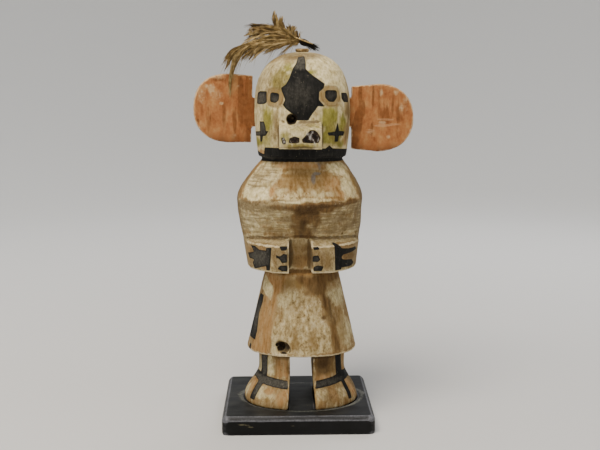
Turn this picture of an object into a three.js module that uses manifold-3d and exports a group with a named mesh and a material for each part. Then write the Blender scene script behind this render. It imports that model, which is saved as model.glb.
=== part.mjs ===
// A kachina doll carved from one piece of cottonwood root, with two let-in wooden ears and a plume
// of small feathers tied to the crown, standing in shallow sockets on a black plinth.
// Millimetres, +Z up. The figure faces -Y, so +X is the viewer's right, and left and right are the viewer's.
// The origin is the centre of the plinth's underside.
import * as THREE from "three";
import { mergeVertices } from "three/addons/utils/BufferGeometryUtils.js";
import Module from "manifold-3d";

const wasm = await Module();
wasm.setup();

// The plinth, a chamfered board
const PLINTH_WIDTH = 124;
const PLINTH_DEPTH = 104;
const PLINTH_THICKNESS = 15;
const PLINTH_CHAMFER = 2.6;
const PLINTH_CORNER_RADIUS = 2.5;
const SOCKET_DEPTH = 1;
const SOCKET_CLEARANCE = 0.7;
const FIGURE_OFFSET_X = 3.5;

// The figure's parts from the soles up, each by its own height
const LEG_HEIGHT = 45;
const KILT_HEIGHT = 67.5;
const WAIST_HEIGHT = 4;
const FOREARM_HEIGHT = 24.5;
const BREAST_HOLLOW_HEIGHT = 21;
const BREAST_UNDERCUT_HEIGHT = 12;
const SHOULDER_SLOPE_HEIGHT = 31.4;
const NECK_HEIGHT = 1.6;
const HEAD_WALL_HEIGHT = 37;
const HEAD_DOME_HEIGHT = 47;

// Widths and depths of the figure, depths counted from its upright axis to the front or the back
const FOOT_WIDTH = 97;
const FOOT_FRONT = 36.5;
const FOOT_BACK = 27;
const LEG_WIDTH = 73.5;
const LEG_FRONT = 28;
const LEG_BACK = 23;
const ANKLE_HEIGHT = 29;
const SOLE_HEIGHT = 3;
const LEG_GAP = 18.5;
const TOE_GAP = 22.6;
const LEG_GAP_X = -0.7;
const HEM_WIDTH = 93.5;
const HEM_FRONT = 36.5;
const HEM_BACK = 33.5;
const KILT_TOP_WIDTH = 61.5;
const KILT_TOP_FRONT = 27.5;
const KILT_TOP_BACK = 26.5;
const WAIST_WIDTH = 58;
const WAIST_FRONT = 26;
const WAIST_BACK = 25;
const ELBOW_WIDTH = 91.5;
const ARM_WIDTH = 96.5;
const FOREARM_FRONT = 42;
const BELLY_FRONT = 26.4;
const HAND_GAP = 17.2;
const HAND_GAP_X = -2.2;
const FOREARM_TOP_DROP = 1.2;
const FOREARM_TOP_RISE = 1.6;
const FOREARM_EDGE_DROP = 1.4;
const FOREARM_FOOT_DROP = 1.2;
const HOLLOW_WIDTH = 103.5;
const HOLLOW_FRONT = 33;
const SHOULDER_WIDTH = 105;
const SHOULDER_FRONT = 41.5;
const SHOULDER_BACK = 36.5;
const SHOULDER_X = -1.6;
const BREAST_RIDGE_DROP = 4.2;
const SHOULDER_TOP_WIDTH = 66;
const SHOULDER_TOP_FRONT = 26;
const SHOULDER_TOP_BACK = 25.5;
const NECK_WIDTH = 62;
const NECK_DEPTH = 49;
const HEAD_WIDTH = 78.8;
const HEAD_DEPTH = 72;
const HEAD_FOOT_WIDTH = 72.8;
const HEAD_FOOT_DEPTH = 67;
const HEAD_X = 0.5;
const CROWN_FLAT_WIDTH = 14;

// How square the sections are: 2 is an ellipse, more is squarer
const ROUND = 2;
const KILT_SQUARENESS = 2.15;
const HEAD_SQUARENESS = 2.35;
const DOME_SQUARENESS = 2.55;
const TORSO_SQUARENESS = 2.25;

// The muzzle, carved in one with the head
const MUZZLE_WIDTH = 33.5;
const MUZZLE_HEIGHT = 16;
const MUZZLE_REACH = 48.5;
const MUZZLE_BULGE = 2.6;
const MUZZLE_RISE = 5;
const MUZZLE_X = -1.8;
const MUZZLE_ABOVE_HEAD_FOOT = 7.5;

// Holes that are worn or drilled in the wood
const CHEEK_HOLE_DIAMETER = 7;
const CHEEK_HOLE_DEPTH = 7;
const CHEEK_HOLE_X = -8.9;
const CHEEK_HOLE_ABOVE_HEAD_FOOT = 31.2;
const KNOT_HOLE_WIDTH = 9.2;
const KNOT_HOLE_DEPTH = 6;
const KNOT_HOLE_X = -15.4;
const KNOT_HOLE_ABOVE_HEM = 8.2;

// The ears, flat boards with a round outer end and a tenon let into the side of the head
const EAR_THICKNESS = 8;
const EAR_BEVEL = 1.3;
const EAR_Y = 1.5;
const EAR_ROUNDNESS = 2.3;
const EAR_HOLLOW_WIDTH = 15;
const EAR_HOLLOW_DEPTH = 1.8;
const TENON_HEIGHT = 24;
const TENON_THICKNESS = 5;
const TENON_LENGTH = 6;
const TENON_CLEARANCE = 0.3;
const LEFT_EAR = {
  name: "left_ear",
  side: -1,
  length: 48.2,
  straight: 18.5,
  height: 56.3,
  rootHeight: 54.5,
  tilt: 2.2,
  standoff: 1.6,
  aboveHeadFoot: 38.4,
  tenonOffset: -2.6,
};
const RIGHT_EAR = {
  name: "right_ear",
  side: 1,
  length: 51.4,
  straight: 21,
  height: 55.6,
  rootHeight: 51.6,
  tilt: 0,
  standoff: 0.9,
  aboveHeadFoot: 31.2,
  tenonOffset: 4.5,
};

// The plume: a cord ring on the crown, a wound binding that lies across it, and feathers out of the binding
const CORD_DIAMETER = 3;
const CORD_RING_DIAMETER = 11.4;
const SEAT_GAP = 0.3;
const BINDING_DIAMETER = 5.8;
const BINDING_LENGTH = 21;
const BINDING_WALL = 0.55;
const BINDING_DROOP = 20;
const BINDING_RIGHT_SHARE = 0.82;
const QUILL_DIAMETER = 0.85;
const BORE_SHARE = 0.4;
const QUILL_PITCH = 1.2;
const QUILL_STANDOUT = 2.5;
const FEATHER_THICKNESS = 1.2;
const FEATHER_LAYER_PITCH = 2;

// The feathers. A feather's reach is how far its tip is from the crown's middle, its line is the [right, up]
// points that it bends through, in shares of its reach, its layer is how far forward it lies, and its seat is
// the [back, up] place of its quill in the binding's mouth.
const TALL_UPRIGHT_FEATHER = {
  name: "tall_upright_feather",
  width: 4.5,
  reach: 39.5,
  layer: 0.5,
  seat: [0, -0.6],
  line: [[-0.304, 0.291], [-0.494, 0.405], [-0.562, 0.595], [-0.552, 0.835]],
};
const STUB_FEATHER = {
  name: "stub_feather",
  width: 5,
  reach: 22,
  layer: -0.5,
  seat: [0, 0.6],
  line: [[-0.364, 0.614], [-0.391, 0.795], [-0.327, 0.945]],
};
const SHORT_UPRIGHT_FEATHER = {
  name: "short_upright_feather",
  width: 4.5,
  reach: 34.5,
  layer: -1.5,
  seat: [1, 1],
  line: [[-0.275, 0.362], [-0.449, 0.507], [-0.51, 0.667], [-0.522, 0.855]],
};
const UPPER_BACK_FEATHER = {
  name: "upper_back_feather",
  width: 6.5,
  reach: 46.5,
  layer: -2.5,
  seat: [1, 0],
  line: [[-0.215, 0.269], [-0.452, 0.376], [-0.667, 0.441], [-0.903, 0.43]],
};
const LOW_HANGING_FEATHER = {
  name: "low_hanging_feather",
  width: 7,
  reach: 45.5,
  layer: -3.5,
  seat: [1, -1],
  line: [[-0.242, 0.209], [-0.549, 0.198], [-0.813, 0.088], [-0.989, -0.176]],
};
const MIDDLE_FEATHER = {
  name: "middle_feather",
  width: 8,
  reach: 47,
  layer: 1.5,
  seat: [-1, 1],
  line: [[-0.234, 0.255], [-0.447, 0.319], [-0.702, 0.33], [-0.979, 0.223]],
};
const LONG_DROOPING_FEATHER = {
  name: "long_drooping_feather",
  width: 9,
  reach: 66,
  layer: 2.5,
  seat: [-1, 0],
  line: [
    [-0.182, 0.152], [-0.409, 0.159], [-0.636, 0.083],
    [-0.795, -0.068], [-0.871, -0.258], [-0.894, -0.455],
  ],
};
const LEFT_TIP_FEATHER = {
  name: "left_tip_feather",
  width: 7.5,
  reach: 61.5,
  layer: 3.5,
  seat: [-1, -1],
  line: [[-0.179, 0.13], [-0.439, 0.114], [-0.699, 0.065], [-0.878, -0.016], [-0.992, -0.146]],
};

// Facets
const SECTION_SIDES = 56;
const FEATHER_SIDES = 8;
const FEATHER_STEPS = 12;

// Levels above the soles
const HEM_Z = LEG_HEIGHT;
const WAIST_Z = HEM_Z + KILT_HEIGHT;
const ELBOW_Z = WAIST_Z + WAIST_HEIGHT;
const FOREARM_TOP_Z = ELBOW_Z + FOREARM_HEIGHT;
const UNDERCUT_Z = FOREARM_TOP_Z + BREAST_HOLLOW_HEIGHT;
const SHOULDER_Z = UNDERCUT_Z + BREAST_UNDERCUT_HEIGHT;
const SHOULDER_TOP_Z = SHOULDER_Z + SHOULDER_SLOPE_HEIGHT;
const HEAD_FOOT_Z = SHOULDER_TOP_Z + NECK_HEIGHT;
const DOME_Z = HEAD_FOOT_Z + HEAD_WALL_HEIGHT;
const CROWN_Z = DOME_Z + HEAD_DOME_HEIGHT;

const OVERLAP = 1;

const lerp = THREE.MathUtils.lerp;
const smoothstep = THREE.MathUtils.smoothstep;
const radians = THREE.MathUtils.degToRad;

function solidOf(geometry) {
  const bare = geometry.index ? geometry.clone() : geometry;
  for (const name of Object.keys(bare.attributes)) {
    if (name !== "position") bare.deleteAttribute(name);
  }
  const merged = mergeVertices(bare, 1e-4);
  return new wasm.Manifold(
    new wasm.Mesh({
      numProp: 3,
      vertProperties: new Float32Array(merged.attributes.position.array),
      triVerts: new Uint32Array(merged.index.array),
    }),
  );
}

function geometryOf(solid) {
  const mesh = solid.getMesh();
  const geometry = new THREE.BufferGeometry();
  geometry.setAttribute("position", new THREE.BufferAttribute(mesh.vertProperties, 3));
  geometry.setIndex(new THREE.BufferAttribute(mesh.triVerts, 1));
  geometry.computeVertexNormals();
  return geometry;
}

function signedPower(value, power) {
  return Math.sign(value) * Math.abs(value) ** power;
}

// One level of a carved form: half width, front and back depths, its middle in X, and its squareness.
function level(z, width, front, back, options = {}) {
  return { z, halfWidth: width / 2, front, back, x: 0, squareness: TORSO_SQUARENESS, drop: 0, ...options };
}

function ringPoints({ z, halfWidth, front, back, x, squareness, drop }, grow = 0) {
  const points = [];
  for (let i = 0; i < SECTION_SIDES; i++) {
    const angle = (2 * Math.PI * (i + 0.5)) / SECTION_SIDES;
    const across = signedPower(Math.cos(angle), 2 / squareness);
    const along = signedPower(Math.sin(angle), 2 / squareness);
    const depth = along < 0 ? front : back;
    const forward = Math.max(0, -Math.sin(angle));
    points.push(
      new THREE.Vector3(x + (halfWidth + grow) * across, (depth + grow) * along, z - drop * forward ** 2),
    );
  }
  return points;
}

// A closed body from rings of equal count, capped by a fan at each end.
function loft(rings) {
  const sides = rings[0].length;
  const positions = [];
  const index = [];
  const middle = (ring) => ring.reduce((sum, p) => sum.add(p), new THREE.Vector3()).divideScalar(sides);
  rings.forEach((ring) => ring.forEach((p) => positions.push(p.x, p.y, p.z)));
  for (const ring of [rings[0], rings.at(-1)]) positions.push(...middle(ring).toArray());
  const bottomMiddle = rings.length * sides;
  const topMiddle = bottomMiddle + 1;
  const last = (rings.length - 1) * sides;
  for (let i = 0; i < sides; i++) {
    const next = (i + 1) % sides;
    for (let r = 0; r < rings.length - 1; r++) {
      const low = r * sides;
      const high = low + sides;
      index.push(low + i, low + next, high + next, low + i, high + next, high + i);
    }
    index.push(bottomMiddle, next, i, topMiddle, last + i, last + next);
  }
  const geometry = new THREE.BufferGeometry();
  geometry.setAttribute("position", new THREE.BufferAttribute(new Float32Array(positions), 3));
  geometry.setIndex(index);
  return geometry;
}

function carvedBody(levels) {
  return solidOf(loft(levels.map((one) => ringPoints(one))));
}

// A box from its low and high corners.
function block(low, high) {
  const size = high.map((value, axis) => value - low[axis]);
  const geometry = new THREE.BoxGeometry(...size);
  geometry.translate(...low.map((value, axis) => value + size[axis] / 2));
  return solidOf(geometry);
}

// An outline of [y, z] points pushed along X, from low to high.
function acrossX(outline, low, high) {
  const shape = new THREE.Shape(outline.map(([y, z]) => new THREE.Vector2(y, z)));
  const geometry = new THREE.ExtrudeGeometry(shape, { depth: high - low, bevelEnabled: false });
  geometry.rotateX(Math.PI / 2);
  geometry.rotateZ(Math.PI / 2);
  geometry.translate(low, 0, 0);
  return solidOf(geometry);
}

// The half width and depths of the legs at a height, for the flare from ankle to sole.
function legLevel(z) {
  const flare = 1 - smoothstep(z, SOLE_HEIGHT, ANKLE_HEIGHT);
  return level(
    z,
    lerp(LEG_WIDTH, FOOT_WIDTH, flare),
    lerp(LEG_FRONT, FOOT_FRONT, flare),
    lerp(LEG_BACK, FOOT_BACK, flare),
    { x: lerp(0, LEG_GAP_X, flare) },
  );
}

function kiltLevel(share) {
  return level(
    lerp(HEM_Z, WAIST_Z, share),
    lerp(HEM_WIDTH, KILT_TOP_WIDTH, share),
    lerp(HEM_FRONT, KILT_TOP_FRONT, share),
    lerp(HEM_BACK, KILT_TOP_BACK, share),
    { squareness: KILT_SQUARENESS },
  );
}

// The gap between the legs, seen from the front, wider at the toes.
function legGap() {
  const reach = FOOT_FRONT + FOOT_BACK;
  const outline = [
    [-TOE_GAP / 2, -OVERLAP],
    [TOE_GAP / 2, -OVERLAP],
    [TOE_GAP / 2, SOLE_HEIGHT],
    [LEG_GAP / 2, lerp(SOLE_HEIGHT, ANKLE_HEIGHT, 0.75)],
    [LEG_GAP / 2, HEM_Z],
    [-LEG_GAP / 2, HEM_Z],
    [-LEG_GAP / 2, lerp(SOLE_HEIGHT, ANKLE_HEIGHT, 0.75)],
    [-TOE_GAP / 2, SOLE_HEIGHT],
  ];
  const shape = new THREE.Shape(outline.map(([x, z]) => new THREE.Vector2(x, z)));
  const geometry = new THREE.ExtrudeGeometry(shape, { depth: 2 * reach, bevelEnabled: false });
  geometry.rotateX(Math.PI / 2);
  geometry.translate(LEG_GAP_X, reach, 0);
  return solidOf(geometry);
}

function legs() {
  const steps = 8;
  const levels = [level(0, FOOT_WIDTH - 1.5, FOOT_FRONT - 0.8, FOOT_BACK - 0.8, { x: LEG_GAP_X })];
  for (let i = 0; i <= steps; i++) levels.push(legLevel(lerp(SOLE_HEIGHT * 0.4, ANKLE_HEIGHT, i / steps)));
  levels.push(legLevel(HEM_Z + OVERLAP));
  return carvedBody(levels).subtract(legGap());
}

function kilt() {
  const steps = 6;
  const hem = kiltLevel(0);
  const levels = [{ ...hem, halfWidth: hem.halfWidth - 0.8, front: hem.front - 0.8, back: hem.back - 0.8 }];
  for (let i = 0; i <= steps; i++) levels.push(kiltLevel(lerp(0.02, 1, i / steps)));
  levels.push(
    level(WAIST_Z + WAIST_HEIGHT / 3, WAIST_WIDTH, WAIST_FRONT, WAIST_BACK, { squareness: ROUND }),
    level(ELBOW_Z + OVERLAP, WAIST_WIDTH, WAIST_FRONT, WAIST_BACK, { squareness: ROUND }),
  );
  return carvedBody(levels);
}

// The trunk with the upper arms, hollowed below the breast ridge.
function torso() {
  const ridge = { x: SHOULDER_X, drop: BREAST_RIDGE_DROP };
  const slope = (share) =>
    level(
      lerp(SHOULDER_Z, SHOULDER_TOP_Z, share),
      lerp(SHOULDER_WIDTH, SHOULDER_TOP_WIDTH, share ** 1.45),
      lerp(SHOULDER_FRONT, SHOULDER_TOP_FRONT, share),
      lerp(SHOULDER_BACK, SHOULDER_TOP_BACK, share ** 1.4),
      { x: lerp(SHOULDER_X, 0.5, share), drop: lerp(BREAST_RIDGE_DROP, 0, share) },
    );
  return carvedBody([
    level(ELBOW_Z, ELBOW_WIDTH, BELLY_FRONT, SHOULDER_BACK - 2.5),
    level(FOREARM_TOP_Z, ARM_WIDTH + 1, BELLY_FRONT + 2, SHOULDER_BACK - 1.2, { x: -0.4 }),
    level(lerp(FOREARM_TOP_Z, UNDERCUT_Z, 0.55), ARM_WIDTH + 5, HOLLOW_FRONT - 1.5, SHOULDER_BACK - 0.4, {
      x: SHOULDER_X / 2,
    }),
    level(UNDERCUT_Z, HOLLOW_WIDTH, HOLLOW_FRONT + 1.5, SHOULDER_BACK, { x: SHOULDER_X, drop: 2 }),
    level(SHOULDER_Z - 2.5, SHOULDER_WIDTH, SHOULDER_FRONT - 1.2, SHOULDER_BACK, ridge),
    slope(0),
    slope(0.1),
    slope(0.25),
    slope(0.5),
    slope(0.75),
    slope(1),
  ]);
}

// The forearms: a band round the front of the body, parted between the hands.
function forearms() {
  const band = carvedBody([
    level(ELBOW_Z, ELBOW_WIDTH, FOREARM_FRONT - 0.5, BELLY_FRONT, { drop: FOREARM_FOOT_DROP }),
    level(FOREARM_TOP_Z - FOREARM_EDGE_DROP - 1, ARM_WIDTH, FOREARM_FRONT, BELLY_FRONT, {
      drop: FOREARM_TOP_DROP,
    }),
    level(FOREARM_TOP_Z - FOREARM_EDGE_DROP, ARM_WIDTH - 1.6, FOREARM_FRONT - 0.9, BELLY_FRONT, {
      drop: FOREARM_TOP_DROP,
    }),
    level(FOREARM_TOP_Z + FOREARM_TOP_RISE, ARM_WIDTH - 3, BELLY_FRONT + 1.5, BELLY_FRONT),
  ]);
  const left = HAND_GAP_X - HAND_GAP / 2;
  const gap = block(
    [left, -FOREARM_FRONT - OVERLAP, ELBOW_Z - FOREARM_FOOT_DROP - OVERLAP],
    [left + HAND_GAP, 0, FOREARM_TOP_Z + FOREARM_TOP_RISE + OVERLAP],
  );
  return band.subtract(gap);
}

function headLevel(z, wide, deep) {
  return level(z, wide, deep / 2, deep / 2, { x: HEAD_X, squareness: HEAD_SQUARENESS });
}

function head() {
  const wallSteps = 4;
  const domeSteps = 9;
  const levels = [
    headLevel(HEAD_FOOT_Z, HEAD_FOOT_WIDTH - 1.6, HEAD_FOOT_DEPTH - 1.6),
    headLevel(HEAD_FOOT_Z + 0.8, HEAD_FOOT_WIDTH, HEAD_FOOT_DEPTH),
  ];
  for (let i = 1; i <= wallSteps; i++) {
    const share = i / wallSteps;
    const bulge = Math.sin((share * Math.PI) / 2);
    levels.push(
      headLevel(
        lerp(HEAD_FOOT_Z, DOME_Z, share),
        lerp(HEAD_FOOT_WIDTH, HEAD_WIDTH, bulge),
        lerp(HEAD_FOOT_DEPTH, HEAD_DEPTH, bulge),
      ),
    );
  }
  const flatShare = (CROWN_FLAT_WIDTH / HEAD_WIDTH) ** (DOME_SQUARENESS / 2);
  const lastAngle = Math.acos(flatShare);
  for (let i = 1; i <= domeSteps; i++) {
    const angle = (lastAngle * i) / domeSteps;
    const narrow = Math.cos(angle) ** (2 / DOME_SQUARENESS);
    const rise = (Math.sin(angle) / Math.sin(lastAngle)) ** (2 / DOME_SQUARENESS);
    levels.push(headLevel(lerp(DOME_Z, CROWN_Z, rise), HEAD_WIDTH * narrow, HEAD_DEPTH * narrow));
  }
  return carvedBody(levels);
}

function neck() {
  const sizes = [NECK_WIDTH, NECK_DEPTH / 2, NECK_DEPTH / 2, { squareness: ROUND }];
  return carvedBody([
    level(SHOULDER_TOP_Z - OVERLAP, ...sizes),
    level(HEAD_FOOT_Z + OVERLAP, ...sizes),
  ]);
}

// The muzzle block: its side outline cut to a plan with a bulging front.
function muzzle() {
  const bottom = HEAD_FOOT_Z + MUZZLE_ABOVE_HEAD_FOOT;
  const top = bottom + MUZZLE_HEIGHT;
  const root = -HEAD_DEPTH / 2 + 9;
  const back = top + MUZZLE_RISE;
  const side = acrossX(
    [
      [root, bottom],
      [-MUZZLE_REACH + 1.5, bottom],
      [-MUZZLE_REACH, bottom + 2],
      [-MUZZLE_REACH, top - 0.8],
      [-MUZZLE_REACH + 1, top + 0.3],
      [-HEAD_DEPTH / 2 + 1, back],
      [root, back],
    ].reverse(),
    MUZZLE_X - MUZZLE_WIDTH / 2,
    MUZZLE_X + MUZZLE_WIDTH / 2,
  );
  const plan = new THREE.Shape();
  const half = MUZZLE_WIDTH / 2;
  const corner = -MUZZLE_REACH + MUZZLE_BULGE;
  plan.moveTo(half, root);
  plan.lineTo(-half, root);
  plan.lineTo(-half, corner + 1);
  plan.quadraticCurveTo(-half, corner, -half + 1.5, corner - 0.4);
  plan.quadraticCurveTo(0, corner - 2 * MUZZLE_BULGE + 0.4, half - 1.5, corner - 0.4);
  plan.quadraticCurveTo(half, corner, half, corner + 1);
  plan.closePath();
  const upright = new THREE.ExtrudeGeometry(plan, {
    depth: MUZZLE_HEIGHT + MUZZLE_RISE + 2 * OVERLAP,
    bevelEnabled: false,
    curveSegments: 8,
  });
  upright.translate(MUZZLE_X, 0, bottom - OVERLAP);
  return side.intersect(solidOf(upright));
}

function cheekHole() {
  const length = CHEEK_HOLE_DEPTH + 10;
  const geometry = new THREE.CylinderGeometry(CHEEK_HOLE_DIAMETER / 2, CHEEK_HOLE_DIAMETER / 2, length, 14);
  const bottomY = -HEAD_DEPTH / 2 + CHEEK_HOLE_DEPTH;
  geometry.translate(CHEEK_HOLE_X, bottomY - length / 2, HEAD_FOOT_Z + CHEEK_HOLE_ABOVE_HEAD_FOOT);
  return solidOf(geometry);
}

// The knot hole near the hem: two lobes, where a knot has dropped out.
function knotHole() {
  const lobe = (x, y, z, width, depth) => {
    const geometry = new THREE.SphereGeometry(0.5, 12, 8);
    geometry.scale(width, depth, width);
    geometry.translate(x, y, z);
    return solidOf(geometry);
  };
  const z = HEM_Z + KNOT_HOLE_ABOVE_HEM;
  const surface = -kiltLevel(KNOT_HOLE_ABOVE_HEM / KILT_HEIGHT).front * 0.95;
  const across = KNOT_HOLE_WIDTH * 0.42;
  const up = KNOT_HOLE_WIDTH * 0.3;
  const small = KNOT_HOLE_WIDTH * 0.7;
  const large = lobe(KNOT_HOLE_X, surface, z, KNOT_HOLE_WIDTH, 2 * KNOT_HOLE_DEPTH);
  return large.add(lobe(KNOT_HOLE_X - across, surface, z + up, small, 1.6 * KNOT_HOLE_DEPTH));
}

// The X of an ear's root edge: it stands a little off the widest part of the head.
function earRootX(ear) {
  return HEAD_X + ear.side * (HEAD_WIDTH / 2 + ear.standoff);
}

function earMiddleZ(ear) {
  return HEAD_FOOT_Z + ear.aboveHeadFoot;
}

// A tenon's low and high corners, in the figure's frame, grown by a clearance for its mortise.
function tenonBlock(ear, grow) {
  const outer = earRootX(ear) + ear.side * OVERLAP;
  const inner = HEAD_X + ear.side * (HEAD_WIDTH / 2 - TENON_LENGTH - grow);
  const half = TENON_HEIGHT / 2 + grow;
  const thick = TENON_THICKNESS / 2 + grow;
  const z = earMiddleZ(ear) + ear.tenonOffset;
  const [low, high] = [outer, inner].sort((a, b) => a - b);
  return block([low, EAR_Y - thick, z - half], [high, EAR_Y + thick, z + half]);
}

// An ear lying out along +X from its root edge, then turned to its side of the head.
function earSolid(ear) {
  const half = ear.height / 2 - EAR_BEVEL;
  const root = ear.rootHeight / 2 - EAR_BEVEL;
  const steps = 18;
  const shape = new THREE.Shape();
  shape.moveTo(EAR_BEVEL, -root);
  for (let i = 0; i <= steps; i++) {
    const angle = -Math.PI / 2 + (Math.PI * i) / steps;
    const reach = ear.length - EAR_BEVEL - ear.straight;
    shape.lineTo(
      ear.straight + reach * Math.abs(Math.cos(angle)) ** (2 / EAR_ROUNDNESS),
      half * signedPower(Math.sin(angle), 2 / EAR_ROUNDNESS),
    );
  }
  shape.lineTo(EAR_BEVEL, root);
  shape.closePath();
  const board = new THREE.ExtrudeGeometry(shape, {
    depth: EAR_THICKNESS - 2 * EAR_BEVEL,
    bevelThickness: EAR_BEVEL,
    bevelSize: EAR_BEVEL,
    bevelSegments: 2,
  });
  board.translate(0, 0, -EAR_THICKNESS / 2 + EAR_BEVEL);
  board.rotateX(Math.PI / 2);
  const hollowAngle = Math.atan(EAR_HOLLOW_DEPTH / EAR_HOLLOW_WIDTH);
  const hollow = new THREE.BoxGeometry(2 * EAR_HOLLOW_WIDTH, EAR_THICKNESS, 2 * ear.height);
  hollow.translate(-EAR_HOLLOW_WIDTH, -EAR_THICKNESS / 2, 0);
  hollow.rotateZ(-hollowAngle);
  hollow.translate(EAR_HOLLOW_WIDTH, -EAR_THICKNESS / 2, 0);
  const place = new THREE.Matrix4()
    .makeTranslation(earRootX(ear), EAR_Y, earMiddleZ(ear))
    .multiply(new THREE.Matrix4().makeRotationY(radians(-ear.side * ear.tilt)));
  let carved = solidOf(board).subtract(solidOf(hollow));
  if (ear.side < 0) carved = carved.mirror([1, 0, 0]);
  return carved.transform(place.elements).add(tenonBlock(ear, 0));
}

function figureSolid() {
  return [kilt(), torso(), forearms(), neck(), head(), muzzle()]
    .reduce((whole, part) => whole.add(part), legs())
    .subtract(cheekHole())
    .subtract(knotHole())
    .subtract(tenonBlock(LEFT_EAR, TENON_CLEARANCE))
    .subtract(tenonBlock(RIGHT_EAR, TENON_CLEARANCE));
}

// The shallow seat that the soles stand in, the same outline grown by its clearance.
function footSockets() {
  const sole = { ...legLevel(0), z: 0 };
  const rings = [0, SOCKET_DEPTH + OVERLAP].map((z) => ringPoints({ ...sole, z }, SOCKET_CLEARANCE));
  const between = TOE_GAP / 2 - SOCKET_CLEARANCE;
  const reach = FOOT_FRONT + FOOT_BACK;
  const rib = block(
    [LEG_GAP_X - between, -reach, -OVERLAP],
    [LEG_GAP_X + between, reach, SOCKET_DEPTH + 2 * OVERLAP],
  );
  return solidOf(loft(rings)).subtract(rib);
}

function plinthSolid() {
  const inset = PLINTH_CHAMFER;
  const outline = new THREE.Shape();
  const [x, y, r] = [PLINTH_WIDTH / 2 - inset, PLINTH_DEPTH / 2 - inset, PLINTH_CORNER_RADIUS];
  outline.moveTo(-x + r, -y);
  outline.lineTo(x - r, -y);
  outline.quadraticCurveTo(x, -y, x, -y + r);
  outline.lineTo(x, y - r);
  outline.quadraticCurveTo(x, y, x - r, y);
  outline.lineTo(-x + r, y);
  outline.quadraticCurveTo(-x, y, -x, y - r);
  outline.lineTo(-x, -y + r);
  outline.quadraticCurveTo(-x, -y, -x + r, -y);
  const board = new THREE.ExtrudeGeometry(outline, {
    depth: PLINTH_THICKNESS,
    bevelThickness: inset,
    bevelSize: inset,
    bevelSegments: 1,
    curveSegments: 4,
  });
  board.translate(0, 0, -inset);
  // The bevel is wanted on the upper edge alone, so the lower one hangs below and is cut away.
  const cutter = block(
    [-PLINTH_WIDTH, -PLINTH_DEPTH, -2 * PLINTH_THICKNESS],
    [PLINTH_WIDTH, PLINTH_DEPTH, 0],
  );
  const sockets = footSockets().translate([FIGURE_OFFSET_X, 0, PLINTH_THICKNESS - SOCKET_DEPTH]);
  return solidOf(board).subtract(cutter).subtract(sockets);
}

// The plume's own frame: its origin is the middle of the crown's flat top.
function cordRingSolid() {
  const radius = CORD_DIAMETER / 2;
  const geometry = new THREE.TorusGeometry(CORD_RING_DIAMETER / 2 - radius, radius, 8, 20);
  geometry.translate(0, 0, radius + SEAT_GAP);
  return solidOf(geometry);
}

// The binding's middle line, from its left mouth to its right end, and the direction that it droops in.
function bindingLine() {
  const angle = radians(BINDING_DROOP);
  const along = new THREE.Vector3(Math.cos(angle), 0, -Math.sin(angle));
  const highOnRing = CORD_DIAMETER + 2 * SEAT_GAP;
  const highest = CORD_RING_DIAMETER / 2 - CORD_DIAMETER / 2;
  const middleZ = highOnRing + BINDING_DIAMETER / 2 / Math.cos(angle) + highest * Math.tan(angle);
  const leftOfMiddle = BINDING_LENGTH * (1 - BINDING_RIGHT_SHARE);
  const mouth = new THREE.Vector3(0, 0, middleZ).addScaledVector(along, -leftOfMiddle);
  return { mouth, along, up: new THREE.Vector3(Math.sin(angle), 0, Math.cos(angle)) };
}

function bindingSolid() {
  const { mouth, along, up } = bindingLine();
  const side = new THREE.Vector3(0, 1, 0);
  const tube = (radii, start, end) =>
    radii.map((radius, step) => {
      const ring = [];
      const from = lerp(start, end, step / (radii.length - 1));
      for (let i = 0; i < 16; i++) {
        const angle = (2 * Math.PI * i) / 16;
        ring.push(
          mouth
            .clone()
            .addScaledVector(along, from)
            .addScaledVector(side, radius * Math.cos(angle))
            .addScaledVector(up, radius * Math.sin(angle)),
        );
      }
      return ring;
    });
  const radius = BINDING_DIAMETER / 2;
  const swell = [0.85, 0.97, 1, 0.97, 0.8, 0.62, 0.55, 0.5, 0.4].map((share) => share * radius);
  const bore = [1, 1].map((share) => share * (radius - BINDING_WALL));
  const outside = solidOf(loft(tube(swell, 0, BINDING_LENGTH)));
  return outside.subtract(solidOf(loft(tube(bore, -OVERLAP, BINDING_LENGTH * BORE_SHARE))));
}

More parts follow.
